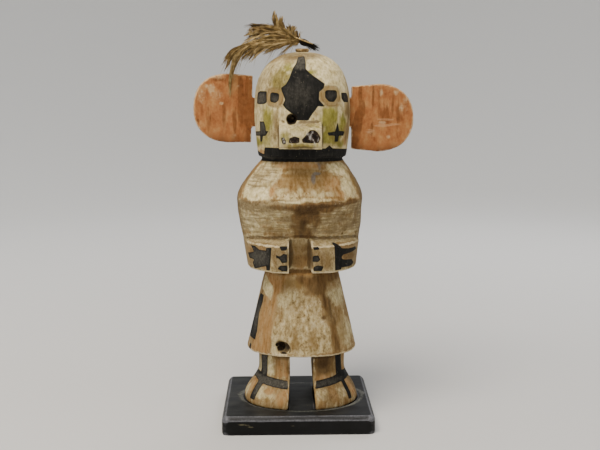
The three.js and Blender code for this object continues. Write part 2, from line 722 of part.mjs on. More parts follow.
// A feather: quill in the binding, then a flat vane along its own bent line.
function featherSolid(feather) {
  const { mouth, along, up } = bindingLine();
  const seat = { side: feather.seat[0] * QUILL_PITCH, rise: feather.seat[1] * QUILL_PITCH };
  const start = (distance) =>
    mouth
      .clone()
      .addScaledVector(along, distance)
      .addScaledVector(up, seat.rise)
      .add(new THREE.Vector3(0, seat.side, 0));
  const layerY = -feather.layer * FEATHER_LAYER_PITCH;
  const points = [start(-QUILL_STANDOUT / 2), start(-QUILL_STANDOUT)];
  feather.line.forEach(([right, high], i) => {
    const settle = i === 0 ? 0.8 : 1;
    points.push(
      new THREE.Vector3(right * feather.reach, lerp(seat.side, layerY, settle), high * feather.reach),
    );
  });
  const curve = new THREE.CatmullRomCurve3(points, false, "centripetal");
  const ringAt = (place, tangent, wide, thick) => {
    const forward = new THREE.Vector3(0, 1, 0).addScaledVector(tangent, -tangent.y).normalize();
    const across = forward.clone().cross(tangent);
    return Array.from({ length: FEATHER_SIDES }, (_, i) => {
      const angle = (2 * Math.PI * i) / FEATHER_SIDES;
      return place
        .clone()
        .addScaledVector(across, (wide / 2) * Math.cos(angle))
        .addScaledVector(forward, (thick / 2) * Math.sin(angle));
    });
  };
  const outward = along.clone().negate();
  const quillFoot = start(BINDING_LENGTH * (BORE_SHARE - 0.05));
  const rings = [ringAt(quillFoot, outward, QUILL_DIAMETER, QUILL_DIAMETER)];
  for (let step = 0; step <= FEATHER_STEPS; step++) {
    const t = step / FEATHER_STEPS;
    const grown = smoothstep(t, 0.12, 0.5);
    const taper = Math.sqrt(Math.max(0.01, 1 - t ** 4));
    rings.push(
      ringAt(
        curve.getPointAt(t),
        curve.getTangentAt(t),
        lerp(QUILL_DIAMETER, feather.width, grown) * lerp(1, taper, grown),
        lerp(QUILL_DIAMETER, FEATHER_THICKNESS, grown) * lerp(1, 0.5, t ** 2),
      ),
    );
  }
  return solidOf(loft(rings));
}

const FEATHERS = [
  TALL_UPRIGHT_FEATHER,
  STUB_FEATHER,
  SHORT_UPRIGHT_FEATHER,
  UPPER_BACK_FEATHER,
  LOW_HANGING_FEATHER,
  MIDDLE_FEATHER,
  LONG_DROOPING_FEATHER,
  LEFT_TIP_FEATHER,
];

function colour(hex, roughness) {
  return new THREE.MeshStandardMaterial({ color: hex, roughness, metalness: 0 });
}

function piece(name, solid, material) {
  const mesh = new THREE.Mesh(geometryOf(solid), material);
  mesh.name = name;
  return mesh;
}

const paintedWood = colour(0xb39b76, 0.8);
const orangeWood = colour(0xb0713f, 0.75);
const blackPaint = colour(0x1d1f20, 0.5);
const tanCord = colour(0xa38c64, 0.9);
const blackYarn = colour(0x1a1918, 0.9);
const featherBrown = colour(0x917a55, 0.85);

const plume = new THREE.Group();
plume.position.set(HEAD_X, 0, CROWN_Z);
plume.add(piece("crown_cord_ring", cordRingSolid(), tanCord));
plume.add(piece("plume_binding", bindingSolid(), blackYarn));
for (const feather of FEATHERS) plume.add(piece(feather.name, featherSolid(feather), featherBrown));

const figure = new THREE.Group();
figure.position.set(FIGURE_OFFSET_X, 0, PLINTH_THICKNESS - SOCKET_DEPTH);
figure.add(piece("carved_figure", figureSolid(), paintedWood));
for (const ear of [LEFT_EAR, RIGHT_EAR]) figure.add(piece(ear.name, earSolid(ear), orangeWood));
figure.add(plume);

const doll = new THREE.Group();
doll.add(piece("plinth", plinthSolid(), blackPaint));
doll.add(figure);

export default doll;
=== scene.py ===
# A kachina doll of painted cottonwood root, with board ears and a feather plume, on a black plinth.
# The frame is in metres, and the sizes named here are in millimetres. The figure faces -Y.
import math

import bpy
import numpy as np
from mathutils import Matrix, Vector, noise


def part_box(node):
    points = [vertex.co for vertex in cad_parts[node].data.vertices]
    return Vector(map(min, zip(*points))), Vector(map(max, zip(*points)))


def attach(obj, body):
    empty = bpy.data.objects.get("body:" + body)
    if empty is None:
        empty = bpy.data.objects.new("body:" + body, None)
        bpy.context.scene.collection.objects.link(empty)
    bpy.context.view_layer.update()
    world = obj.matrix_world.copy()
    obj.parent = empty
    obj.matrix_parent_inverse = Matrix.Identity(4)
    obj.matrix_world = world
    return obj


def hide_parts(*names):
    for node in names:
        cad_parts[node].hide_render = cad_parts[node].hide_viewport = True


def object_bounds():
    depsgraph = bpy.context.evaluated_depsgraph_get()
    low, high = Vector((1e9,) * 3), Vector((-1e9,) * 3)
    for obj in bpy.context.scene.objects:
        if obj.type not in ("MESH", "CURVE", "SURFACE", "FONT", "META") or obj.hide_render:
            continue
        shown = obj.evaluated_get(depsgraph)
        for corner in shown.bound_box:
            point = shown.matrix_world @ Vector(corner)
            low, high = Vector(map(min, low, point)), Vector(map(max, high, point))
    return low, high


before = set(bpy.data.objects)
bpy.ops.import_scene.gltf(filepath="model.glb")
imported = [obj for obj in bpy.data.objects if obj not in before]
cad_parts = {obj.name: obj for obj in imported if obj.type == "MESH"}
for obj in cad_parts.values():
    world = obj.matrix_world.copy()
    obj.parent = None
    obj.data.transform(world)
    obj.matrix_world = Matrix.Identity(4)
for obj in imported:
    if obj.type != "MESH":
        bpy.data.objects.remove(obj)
cad_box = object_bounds()

MM = 0.001

# The camera, where the photograph was taken from
CAMERA_PLACE = (-14.5, -689.2, 269.3)
CAMERA_TILT = 8.75
CAMERA_TURN = -1.39
CAMERA_LENS = 50.0

# Where things stand
FIGURE_AXIS_X = 3.5
PLINTH_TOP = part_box("plinth")[1].z / MM

# How finely the carved pieces are meshed
FIGURE_MESH = 1.06
EAR_MESH = 0.7
PLINTH_MESH = 1.0

# How far an edge or a corner stands out or in before it is quite rubbed or in full painted shade, and how
# much the carving is kept in from the solid
RUBBED_EDGE = 0.3
SHADED_CORNER = 0.3
SKIN_ALLOWANCE = 0.3


def linear(hex_colour):
    """An sRGB hex colour as the linear colour that Blender's shaders work in."""
    channels = [int(hex_colour[i : i + 2], 16) / 255 for i in (1, 3, 5)]
    curve = [c / 12.92 if c <= 0.04045 else ((c + 0.055) / 1.055) ** 2.4 for c in channels]
    return (*curve, 1.0)


def per_metre(size):
    """The Scale of a texture whose pattern repeats about every so many millimetres."""
    return 1 / (size * MM)


# Materials


def add(tree, kind, sockets=None, stops=(), **settings):
    """Adds a node. A socket is given a value, or the output that feeds it, and a colour ramp's stops are hex
    colours, spaced evenly over the middle of a noise's range."""
    node = tree.nodes.new(kind)
    for name, value in settings.items():
        setattr(node, name, value)
    for name, value in (sockets or {}).items():
        if isinstance(value, bpy.types.NodeSocket):
            tree.links.new(value, node.inputs[name])
        else:
            node.inputs[name].default_value = value
    for i, colour in enumerate(stops):
        share = 0.32 + 0.36 * i / (len(stops) - 1)
        stop = node.color_ramp.elements[i] if i < 2 else node.color_ramp.elements.new(share)
        stop.position = share
        stop.color = linear(colour)
    return node


def new_finish(name, **sockets):
    """A material with one shader, whose own sockets get the values that are the same all over."""
    material = bpy.data.materials.new(name)
    material.use_nodes = True
    tree = material.node_tree
    tree.nodes.clear()
    shader = add(tree, "ShaderNodeBsdfPrincipled", sockets)
    add(tree, "ShaderNodeOutputMaterial", {"Surface": shader.outputs["BSDF"]})
    return material, tree, shader


def grain(tree, size, stretch=(1, 1, 1), detail=4.0, roughness=0.55):
    """The unevenness of wood, paint or dirt: noise of a size in mm, drawn out where stretch is over 1."""
    place = add(tree, "ShaderNodeTexCoord")
    drawn_out = add(
        tree,
        "ShaderNodeMapping",
        {"Vector": place.outputs["Object"], "Scale": tuple(1 / s for s in stretch)},
    )
    noise_sockets = {
        "Vector": drawn_out.outputs["Vector"],
        "Scale": per_metre(size),
        "Detail": detail,
        "Roughness": roughness,
    }
    return add(tree, "ShaderNodeTexNoise", noise_sockets).outputs["Fac"]


def coat(tree, below, cover, edge, colours, tone=None, ragged=0.5, middle=0.5, soft=0.12, most=1.0):
    """Lays a paint over what is below it, wherever the mesh's cover of that name passes the middle. A grain
    makes its edge ragged, and its colours run with the tone, another grain."""
    covered = add(tree, "ShaderNodeAttribute", attribute_name=cover)
    torn = add(
        tree,
        "ShaderNodeMath",
        {0: edge, 1: ragged, 2: covered.outputs["Fac"]},
        operation="MULTIPLY_ADD",
    )
    centre = middle + ragged / 2
    mask_sockets = {
        "Value": torn.outputs[0],
        "From Min": centre - soft,
        "From Max": centre + soft,
        "To Max": most,
    }
    mask = add(tree, "ShaderNodeMapRange", mask_sockets, interpolation_type="SMOOTHSTEP")
    paint = add(tree, "ShaderNodeValToRGB", {"Fac": tone or edge}, colours)
    laid = add(
        tree,
        "ShaderNodeMix",
        {0: mask.outputs["Result"], 6: below, 7: paint.outputs["Color"]},
        data_type="RGBA",
    )
    return laid.outputs[2]


def finish_surface(tree, shader, colour, reliefs):
    """Colours the shader, and raises its surface by (grain, height in millimetres) reliefs."""
    tree.links.new(colour, shader.inputs["Base Color"])
    below = {}
    for height, high in reliefs:
        bump = add(tree, "ShaderNodeBump", {"Height": height, "Distance": high * MM, **below})
        below = {"Normal": bump.outputs["Normal"]}
    if below:
        tree.links.new(below["Normal"], shader.inputs["Normal"])


def painted_cottonwood():
    """Earth paints and white clay on carved cottonwood root: matt and chalky, cracked and rubbed through to
    the tan wood, soiled by hands, with streaks that follow the grain up the figure."""
    material, tree, shader = new_finish(
        "painted_cottonwood", **{"Roughness": 0.82, "IOR": 1.45, "Specular IOR Level": 0.22}
    )
    upright = grain(tree, 2.6, (1, 1, 8), 6, 0.6)
    level = grain(tree, 1.5, (10, 10, 1), 5, 0.6)
    clouds = grain(tree, 14, detail=6)
    broken = grain(tree, 6, (1, 1, 1.7), 9, 0.74)
    flakes = grain(tree, 2.8, (1, 1, 1.6), 8, 0.66)
    specks = grain(tree, 1.3, (1, 1, 1.5), 4)

    colour = add(
        tree, "ShaderNodeValToRGB", {"Fac": upright}, ("#6b4c28", "#8b693a", "#a98857")
    ).outputs["Color"]
    colour = coat(tree, colour, "wood_clouds", clouds, ("#664622", "#987848"),
        specks, 1.0, soft=0.3, most=0.5)
    clay = ("#968354", "#cfc091", "#ecdfb6")
    colour = coat(tree, colour, "clay", upright, clay, flakes, 1.0, soft=0.35, most=0.5)
    colour = coat(tree, colour, "clay", broken, clay, flakes, 1.9, 0.62, 0.22, 0.96)
    colour = coat(tree, colour, "brushed", level, ("#57462c", "#a3926d"), specks, 1.8, 0.62, 0.18, 0.8)
    crust = ("#5f4523", "#c2ae7e", "#eadcb4")
    colour = coat(tree, colour, "crust", specks, crust, flakes, 1.3, 0.55, 0.14, 0.92)
    ochre = ("#8a6133", "#ad8656", "#c4a678")
    colour = coat(tree, colour, "ochre", broken, ochre, upright, 1.2, soft=0.3, most=0.88)
    green = ("#56540a", "#7d7921", "#9c9743")
    colour = coat(tree, colour, "green", upright, green, broken, 1.0, soft=0.4, most=0.92)
    colour = coat(tree, colour, "tan", broken, ("#6a5122", "#8f7140"), upright, 1.2, soft=0.45, most=0.85)
    brown = ("#37220d", "#553919", "#785529")
    colour = coat(tree, colour, "brown", clouds, brown, upright, 0.6, soft=0.35, most=0.9)
    colour = coat(tree, colour, "slate", flakes, ("#5c5c5c", "#77787a"), specks, 0.9, soft=0.25, most=0.7)
    # Hands have soiled the broad faces and rubbed the edges pale, and painted shade darkens the corners
    # between forms and the places that lie in shade.
    colour = coat(tree, colour, "soiled", upright, ("#4e3b20", "#7b6642"), broken, 1.1, soft=0.5, most=0.66)
    colour = coat(tree, colour, "soiled", specks, ("#3f2f19", "#6b5534"), flakes, 5.0, 1.1, 0.4, 0.45)
    colour = coat(tree, colour, "rubbed", flakes, ("#b3a078", "#e3d5af"), specks, 1.2, 0.58, 0.18, 0.75)
    colour = coat(tree, colour, "painted_shade", flakes, ("#2a1c0d", "#4c371d"), specks, 0.6, soft=0.25, most=0.75)
    black = ("#0c0c0b", "#141412", "#201f1d")
    colour = coat(tree, colour, "black", flakes, black, upright, 0.3, soft=0.1)
    colour = coat(tree, colour, "dust", flakes, ("#3a3832", "#5b574e"), specks, 0.9, soft=0.4, most=0.8)
    colour = coat(tree, colour, "black", specks, ("#6b6352", "#a89c7c"), flakes, 2.6, 1.5, 0.08, 0.6)
    # Painted shade inside the holes.
    colour = coat(tree, colour, "hole_shade", flakes, ("#070503", "#150e07", "#3a2a13"), specks, 0.4, soft=0.2)
    # The torn wood is near black, and its palest grey stop is painted glints.
    splinters_and_glints = ("#080605", "#140e08", "#33261a", "#a5a29b")
    colour = coat(tree, colour, "torn_wood", flakes, splinters_and_glints, flakes, 0.7, soft=0.2)
    finish_surface(tree, shader, colour, [(upright, 0.3), (broken, 0.35), (specks, 0.1)])
    return material


def painted_ear_board():
    """Orange-brown earth paint on a split board: matt, with the grain's upright streaks, and rubbed pale
    along its edges and in spots. Painted shade darkens its foot, its root and its corners, and a painted
    highlight makes its rims paler on top."""
    material, tree, shader = new_finish(
        "earth_painted_board", **{"Roughness": 0.75, "IOR": 1.45, "Specular IOR Level": 0.25}
    )
    streaks = grain(tree, 2.2, (1, 1, 7), 6, 0.6)
    broken = grain(tree, 7, (1, 1, 1.5), 9, 0.7)
    flakes = grain(tree, 2.4, (1, 1, 1.3), 8, 0.66)
    scratches = grain(tree, 1.4, (7, 7, 1), 4)
    colour = add(
        tree, "ShaderNodeValToRGB", {"Fac": broken}, ("#7b4620", "#986237", "#ab7f4e")
    ).outputs["Color"]
    colour = coat(tree, colour, "streaked", streaks, ("#4f2a0e", "#7d4c23"), flakes, 1.7, 0.66, 0.25, 0.75)
    colour = coat(tree, colour, "worn", flakes, ("#a08055", "#c0a981"), flakes, 1.2, soft=0.3, most=0.75)
    colour = coat(tree, colour, "scratched", scratches, ("#ae8055", "#c8a67c"), flakes, 1.4, 0.75, 0.2, 0.42)
    # Painted shade at the board's foot, its root by the head and its corners.
    colour = coat(tree, colour, "painted_shade", broken, ("#43220b", "#643817"), streaks, 0.9, soft=0.35, most=0.8)
    colour = coat(tree, colour, "rubbed", flakes, ("#b28f62", "#dcc49b"), flakes, 1.1, soft=0.25, most=0.8)
    finish_surface(tree, shader, colour, [(streaks, 0.25), (flakes, 0.2)])
    return material


def black_lacquer():
    """Satin black paint on a planed board: dark and a little blue, dusty on top, scratched and rubbed grey at
    its edges, with a painted highlight along its top edges and painted light towards the left of its top."""
    material, tree, shader = new_finish(
        "black_lacquered_board", **{"IOR": 1.5, "Specular IOR Level": 0.2, "Roughness": 0.5}
    )
    clouds = grain(tree, 22, detail=7)
    scratches = grain(tree, 1.6, (8, 3, 1), 8, 0.7)
    specks = grain(tree, 1.6, detail=3)
    colour = add(
        tree, "ShaderNodeValToRGB", {"Fac": clouds}, ("#020202", "#030404", "#070708")
    ).outputs["Color"]
    colour = coat(tree, colour, "dust", clouds, ("#24262a", "#434543"), scratches, 0.7, soft=0.5, most=0.8)
    colour = coat(tree, colour, "scuff", scratches, ("#4b4734", "#7a7458"), specks, 1.6, 0.75, 0.08, 0.5)
    colour = coat(tree, colour, "rubbed", scratches, ("#55565b", "#7b7c81"), specks, 0.5, 0.4, 0.25, 0.8)
    colour = coat(tree, colour, "tidemark", specks, ("#56574f", "#7d7e73"), clouds, 0.8, soft=0.3, most=0.75)
    finish_surface(tree, shader, colour, [(clouds, 0.4), (specks, 0.04)])
    return material


def dry_feather():
    """Old down of a game bird: dull, matted barbs from dark brown through golden tan to straw. Real barbs are
    near 0.03 mm thick, so locks of them are drawn as coarser hairs."""
    material, tree, shader = new_finish(
        "dry_feather", **{"Roughness": 0.75, "IOR": 1.55, "Specular IOR Level": 0.25}
    )
    patches = grain(tree, 4, detail=5)
    fibres = grain(tree, 1.2, detail=3)
    colour = add(
        tree, "ShaderNodeValToRGB", {"Fac": patches}, ("#4a3618", "#7b6234", "#a28a54")
    ).outputs["Color"]
    colour = coat(tree, colour, "shade", fibres, ("#1c110a", "#3b2812"), patches, 0.5, soft=0.45, most=0.92)
    colour = coat(tree, colour, "pale", fibres, ("#876f3f", "#bda574"), patches, 0.5, soft=0.4, most=0.9)
    finish_surface(tree, shader, colour, [])
    return material


def bare_quill():
    """Stripped quill: smooth horn, pale cream and slightly glossy."""
    material, tree, shader = new_finish("bare_quill", **{"Roughness": 0.42, "IOR": 1.54})
    marks = grain(tree, 2, detail=3)
    colour = add(tree, "ShaderNodeValToRGB", {"Fac": marks}, ("#7d6335", "#a98e57", "#c4ad78"))
    finish_surface(tree, shader, colour.outputs["Color"], [])
    return material


def fibre_cord():
    """Twisted plant-fibre cord: straw-coloured, hairy and dull. Its 0.1 mm fibres are drawn about 0.8 mm
    coarse, so that they show."""
    material, tree, shader = new_finish("fibre_cord", **{"Roughness": 0.88, "IOR": 1.5})
    fibres = grain(tree, 0.8, (1, 1, 2), 4)
    colour = add(tree, "ShaderNodeValToRGB", {"Fac": fibres}, ("#2f210f", "#86693b", "#c6ae7d"))
    finish_surface(tree, shader, colour.outputs["Color"], [(fibres, 0.15)])
    return material


def black_wool():
    """Hand-spun wool yarn, dyed black: fuzzy and dull. Its 0.03 mm hairs are drawn about 0.7 mm coarse."""
    material, tree, shader = new_finish(
        "black_wool", **{"Roughness": 0.95, "IOR": 1.5, "Specular IOR Level": 0.2}
    )
    fibres = grain(tree, 0.7, detail=4)
    colour = add(tree, "ShaderNodeValToRGB", {"Fac": fibres}, ("#080807", "#13110d", "#2a241a"))
    finish_surface(tree, shader, colour.outputs["Color"], [(fibres, 0.15)])
    return material


def pale_floor():
    """The studio's pale, matt floor."""
    material, tree, shader = new_finish("pale_floor", **{"Roughness": 0.9, "Specular IOR Level": 0.1})
    shader.inputs["Base Color"].default_value = linear("#d3d2cf")
    return material


# Working on meshes


def settled(piece):
    """Turns a piece's modifiers into its mesh."""
    shown = piece.evaluated_get(bpy.context.evaluated_depsgraph_get())
    mesh = bpy.data.meshes.new_from_object(shown)
    piece.modifiers.clear()
    piece.data = mesh
    return piece


def fine_copy(node, name, mesh_size, easings):
    """A piece with a CAD node's shape, meshed finely enough to be carved, worn and painted."""
    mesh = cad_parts[node].data.copy()
    mesh.materials.clear()
    piece = bpy.data.objects.new(name, mesh)
    bpy.context.scene.collection.objects.link(piece)
    remesh = piece.modifiers.new("fine mesh", "REMESH")
    remesh.mode = "VOXEL"
    remesh.voxel_size = mesh_size * MM
    remesh.use_smooth_shade = True
    ease = piece.modifiers.new("ease", "SMOOTH")
    ease.factor = 0.5
    ease.iterations = easings
    return settled(piece)


def vertices_of(piece):
    places = np.empty(len(piece.data.vertices) * 3)
    piece.data.vertices.foreach_get("co", places)
    return places.reshape(-1, 3) / MM


def normals_of(piece):
    normals = np.empty(len(piece.data.vertices) * 3)
    piece.data.vertex_normals.foreach_get("vector", normals)
    return normals.reshape(-1, 3)


def place_vertices(piece, places):
    piece.data.vertices.foreach_set("co", (places * MM).ravel())
    piece.data.update()


def keep_in_node(places, node):
    """The same places, kept inside the box of the CAD node that they stand for."""
    low, high = (np.array(corner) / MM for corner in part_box(node))
    return np.clip(places, low, high)


def hold(piece, name, values):
    """Keeps a number for each vertex on the mesh, for the material to read."""
    layer = piece.data.attributes.new(name, "FLOAT", "POINT")
    layer.data.foreach_set("value", np.asarray(values, dtype=np.float32))


def rough(places, sizes, seed):
    """Smooth noise from -1 to 1 at each place, with a grain of the given sizes along X, Y and Z."""
    shift = Vector((7.3, 3.1, 5.7)) * seed
    return np.array([noise.noise(Vector(p) + shift) for p in places / np.array(sizes, float)])


def proud(piece, places, rounds):
    """How far each vertex stands out of its surroundings: above 0 on an edge, below 0 in a corner."""
    ends = np.empty(len(piece.data.edges) * 2, np.int32)
    piece.data.edges.foreach_get("vertices", ends)
    a, b = ends.reshape(-1, 2).T
    count = len(places)
    neighbours = np.bincount(a, minlength=count) + np.bincount(b, minlength=count)
    eased = places.copy()
    for _ in range(rounds):
        sums = [
            np.bincount(a, eased[b, k], count) + np.bincount(b, eased[a, k], count) for k in range(3)
        ]
        eased = np.stack(sums, 1) / neighbours[:, None]
    return ((places - eased) * normals_of(piece)).sum(1)


def finished(piece, materials, node):
    """Gives a piece its materials, and its place in the frame."""
    for material in materials:
        piece.data.materials.append(material)
    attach(piece, "root")
    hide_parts(node)
    return piece


# Painting. A place on the figure is an azimuth in degrees and a height in millimetres above the plinth.
# Azimuth 0 is the front, and it grows towards the viewer's right.

FAR_OUTSIDE = -20.0
BEHIND = 115
WANDERING_SIZE = 10


def soft_patches(x, y, patches):
    """How strongly soft patches cover each place. A patch is (x, y, half width, half height, strength)."""
    cover = np.zeros(len(x))
    for at_x, at_y, wide, high, strength in patches:
        out = ((x - at_x) / wide) ** 2 + ((y - at_y) / high) ** 2
        cover = np.maximum(cover, strength * np.exp(-(out**1.4)))
    return cover


class Skin:
    """Where each vertex lies on the figure, by azimuth, height and distance from the upright axis."""

    def __init__(self, places):
        self.x = places[:, 0] - FIGURE_AXIS_X
        self.y = places[:, 1]
        self.azimuth = np.degrees(np.arctan2(self.x, -self.y))
        self.radius = np.hypot(self.x, self.y)
        self.height = places[:, 2] - PLINTH_TOP
        # Hand-laid patches have wandering outlines.
        self.drift = np.stack([
            3.4 * rough(places, (9, 9, 11), 13) + 2.0 * rough(places, (3.5, 3.5, 4), 14),
            4.0 * rough(places, (9, 9, 11), 15) + 2.4 * rough(places, (3.5, 3.5, 4), 16),
        ])

    def across(self, azimuth):
        """How far round to the right an azimuth is from each vertex, in millimetres."""
        turn = (azimuth - self.azimuth + 180) % 360 - 180
        return np.radians(turn) * self.radius

    def inside(self, outline, rounding=0.0):
        """How far each vertex is inside an outline of (azimuth, height) corners, grown by a rounding."""
        nearest = np.full(len(self.height), np.inf)
        odd = np.zeros(len(self.height), bool)
        for (azimuth_a, height_a), (azimuth_b, height_b) in zip(outline, outline[1:] + outline[:1]):
            ax, ay = self.across(azimuth_a), height_a - self.height
            bx, by = self.across(azimuth_b), height_b - self.height
            dx, dy = bx - ax, by - ay
            along = np.clip(-(ax * dx + ay * dy) / (dx * dx + dy * dy + 1e-9), 0, 1)
            nearest = np.minimum(nearest, np.hypot(ax + along * dx, ay + along * dy))
            crosses = (ay > 0) != (by > 0)
            odd ^= crosses & (ax - ay * dx / np.where(crosses, dy, 1) > 0)
        azimuths = [azimuth for azimuth, _ in outline]
        middle = (min(azimuths) + max(azimuths)) / 2
        turn = np.abs((middle - self.azimuth + 180) % 360 - 180)
        return np.where(turn > BEHIND, FAR_OUTSIDE, np.where(odd, nearest, -nearest) + rounding)

    def patches(self, places):
        """Soft patches, each (azimuth, height, half width, half height, strength); sizes in millimetres."""
        cover = np.zeros(len(self.height))
        for azimuth, height, wide, high, strength in places:
            across = self.across(azimuth) + self.drift[0] * min(1, wide / WANDERING_SIZE)
            up = self.height + self.drift[1] * min(1, high / WANDERING_SIZE)
            cover = np.maximum(cover, soft_patches(across, up, [(0, height, wide, high, strength)]))
        return cover

    def between(self, low, high, soft=3.0):
        """1 between two heights, falling to 0 over a soft edge."""
        up = np.clip((self.height - low) / soft + 0.5, 0, 1)
        down = np.clip((high - self.height) / soft + 0.5, 0, 1)
        return up * down


def filled(distance, soft):
    """Cover that is half at an outline, and full a soft distance inside it."""
    return np.clip(0.5 + distance / (2 * soft), 0, 1)


# The black paint of the face
FACE_DIAMOND = [
    (-9, 286), (5, 286), (6, 281), (5, 276), (11, 272.5), (20, 268.5), (29, 264.5), (27, 261), (21, 258),
    (20, 252), (28, 246.5), (19, 247), (12, 241), (7, 236), (-8, 236), (-13, 241), (-21, 245), (-25, 248),
    (-22, 252), (-28, 261), (-22, 264), (-18, 269), (-15, 276), (-11, 280),
]
LEFT_EYE = [(-38.5, 252), (-35, 251.5), (-33, 252.5), (-32.5, 255.3), (-38.5, 255.8)]
RIGHT_EYE = [(34, 252.4), (38, 252.2), (41, 254.5), (41.5, 257.5), (31, 257.5), (31, 254.5)]
EYE_ROUNDING = 2
EYE_RING_WIDE = 3.1
LEFT_TEMPLE = [
    (-68, 249), (-60, 248.3), (-50, 248.6), (-46, 250), (-46.5, 254), (-47.5, 258.6), (-60, 258.9),
    (-67, 257.5),
]
RIGHT_TEMPLE = [(51, 253), (55, 250), (66, 250), (66, 255), (63, 257.5), (51, 257.5)]
LEFT_CROSS = [
    [(-60, 227), (-59, 235), (-51, 235), (-49, 231), (-49, 224), (-60, 224)],
    [(-80, 223), (-50, 223.5), (-44, 227.5), (-50, 227.5), (-80, 226.5)],
    [(-62, 218.5), (-57, 219), (-54, 224), (-61, 224)],
]
RIGHT_CROSS = [
    [(42, 219), (48, 219), (48.5, 227), (45, 235), (42, 227)],
    [(31.5, 226.5), (33, 224), (56, 223.5), (59, 227), (50, 227.5), (40, 227)],
]
TEETH = [
    [(-20.5, 223), (-17.5, 223.3), (-15.5, 220.5), (-16, 218), (-19, 218.2)],
    [(-13.3, 219), (-12.5, 222.8), (-8, 224.4), (-3.3, 223.2), (-3.3, 219.3), (-8, 218.7)],
]
MUZZLE_TEAR = [
    (-1.5, 221.5), (4, 226.5), (7, 229.8), (10, 229.8), (14, 227), (17, 223), (15, 219), (8, 218.6),
    (0, 219.2),
]
MUZZLE_FRONT = -43
MUZZLE_HEIGHT = 225
RING_SEAT = 9
BAND_FOOT = 203
BAND_TOP = [
    (-180, 214), (-90, 212), (-56, 209), (-53, 214.5), (-30, 214.5), (30, 214), (35, 216.5), (40, 214),
    (60, 213), (90, 212), (180, 214),
]

# The black paint of the arms, the kilt and the boots
LEFT_SLEEVE_MARK = [
    [(-62, 135.5), (-54, 135.5), (-49, 133), (-38, 133), (-38, 121), (-50, 118), (-58, 116), (-61, 121),
     (-57, 124), (-67, 124), (-70, 128), (-62, 129.5), (-57, 130.5)],
    [(-41, 116), (-36.5, 116), (-33.5, 136), (-40, 135)],
]
RIGHT_SLEEVE_MARK = [
    [(36, 116), (44, 116.5), (44, 134), (38, 139.5), (34, 138.5), (35, 130)],
    [(42, 134.5), (52, 133.5), (66, 133.5), (69, 131), (58, 129.8), (46, 129), (42, 126)],
    [(42, 126.5), (47, 124.8), (60, 123.5), (66, 120), (60, 118), (42, 118.5)],
]
KNUCKLE_DOTS = [
    [(-26, 137.4), (-16.5, 137.6), (-17, 134.2), (-23, 133.6)],
    [(-30, 130.5), (-25, 129), (-21, 131.3), (-17, 130.8), (-17, 124.2), (-23, 123.6), (-25.5, 127),
    (-30, 128)],
    [(-25, 121.5), (-17, 122), (-16.5, 117), (-23, 116.8), (-27.5, 119)],
    [(10.5, 137), (17, 137.2), (18, 134.6), (12, 134.2)],
    [(10.5, 129.8), (17, 130), (19, 126.4), (16.5, 124.6), (10.5, 125)],
    [(11.5, 120.4), (16, 122), (23, 120.8), (21, 117), (11.5, 117.2)],
]
KILT_STRIPE = [(-66, 92), (-65, 86), (-69, 77), (-65, 62), (-66, 54.5), (-88, 54.5), (-92, 70), (-86, 84),
    (-78, 92)]
HEM_NOTCH = [(-78, 44), (-73, 44), (-72, 49), (-75, 50.5), (-77, 49)]
STRAPS = [
    [(-101, 22), (-78, 25.5), (-55, 24), (-19, 22), (-19, 15.5), (-40, 16.5), (-58, 17.5), (-78, 19.5),
    (-101, 17)],
    [(-69, 44), (-56, 44), (-57, 23), (-71, 24)],
    [(-68, 20), (-58, 19), (-60, 4), (-68, 4)],
    [(19, 22), (50, 24), (68, 26.5), (80, 25.5), (101, 21.5), (101, 16.5), (78, 19), (58, 18.5), (19, 16)],
    [(54, 44), (66, 44), (69, 25), (55.5, 24)],
    [(60.5, 20), (67, 20), (66, 4), (60, 4)],
]
BACK_STRAP_HEIGHT = 19.3
BACK_STRAP_HALF_WIDTH = 2.7
BACK_STRAP_AZIMUTH = 98
# The sleeves' paint lies outside this radius and above this height, the dots in front of this y.
SLEEVE_RADIUS = 36
SLEEVE_FOOT = 116.5
KNUCKLES_FRONT = -38.5
# The heights between which each form of the figure lies
HEAD_HEIGHTS = (207, 300)
CHEST_HEIGHTS = (172, 206)
BELLY_HEIGHTS = (141, 172)
ARM_HEIGHTS = (115, 141)
KILT_HEIGHTS = (45, 112)
BOOT_HEIGHTS = (-5, 44)
BETWEEN_LEGS = 11.5
LEG_GAP_X = -0.7

# Broad coats of clay and earth paint
LEFT_SHOULDER_CLAY = [(-74, 203), (-30, 203), (-29, 191), (-38, 182), (-35, 172.5), (-70, 174), (-72, 188)]
RIGHT_SHOULDER_CLAY = [
    (40, 202), (74, 199), (70, 190), (66, 174.5), (49, 173.5), (47, 184), (52, 191), (35, 197),
]
KILT_CLAY_WEDGE = [(-76, 108), (-66, 106.5), (-50, 101), (-47, 97), (-50, 89), (-56, 92), (-66, 95),
    (-76, 97)]
KILT_OCHRE = [
    (-76, 109), (-22, 111), (-31, 102), (-38, 94), (-40, 80), (-41, 62), (-44, 46), (-74, 46), (-68, 54),
    (-64, 62), (-68, 77), (-64, 88), (-60, 95),
]
KILT_BROWN = [
    (-14, 110), (10, 111), (80, 112), (78, 106), (42, 104), (38, 96), (40, 86), (46, 74), (49, 60), (51, 47),
    (41, 47), (40, 62), (38, 72), (32, 84), (28, 94), (14, 97), (5, 103), (-8, 106),
]

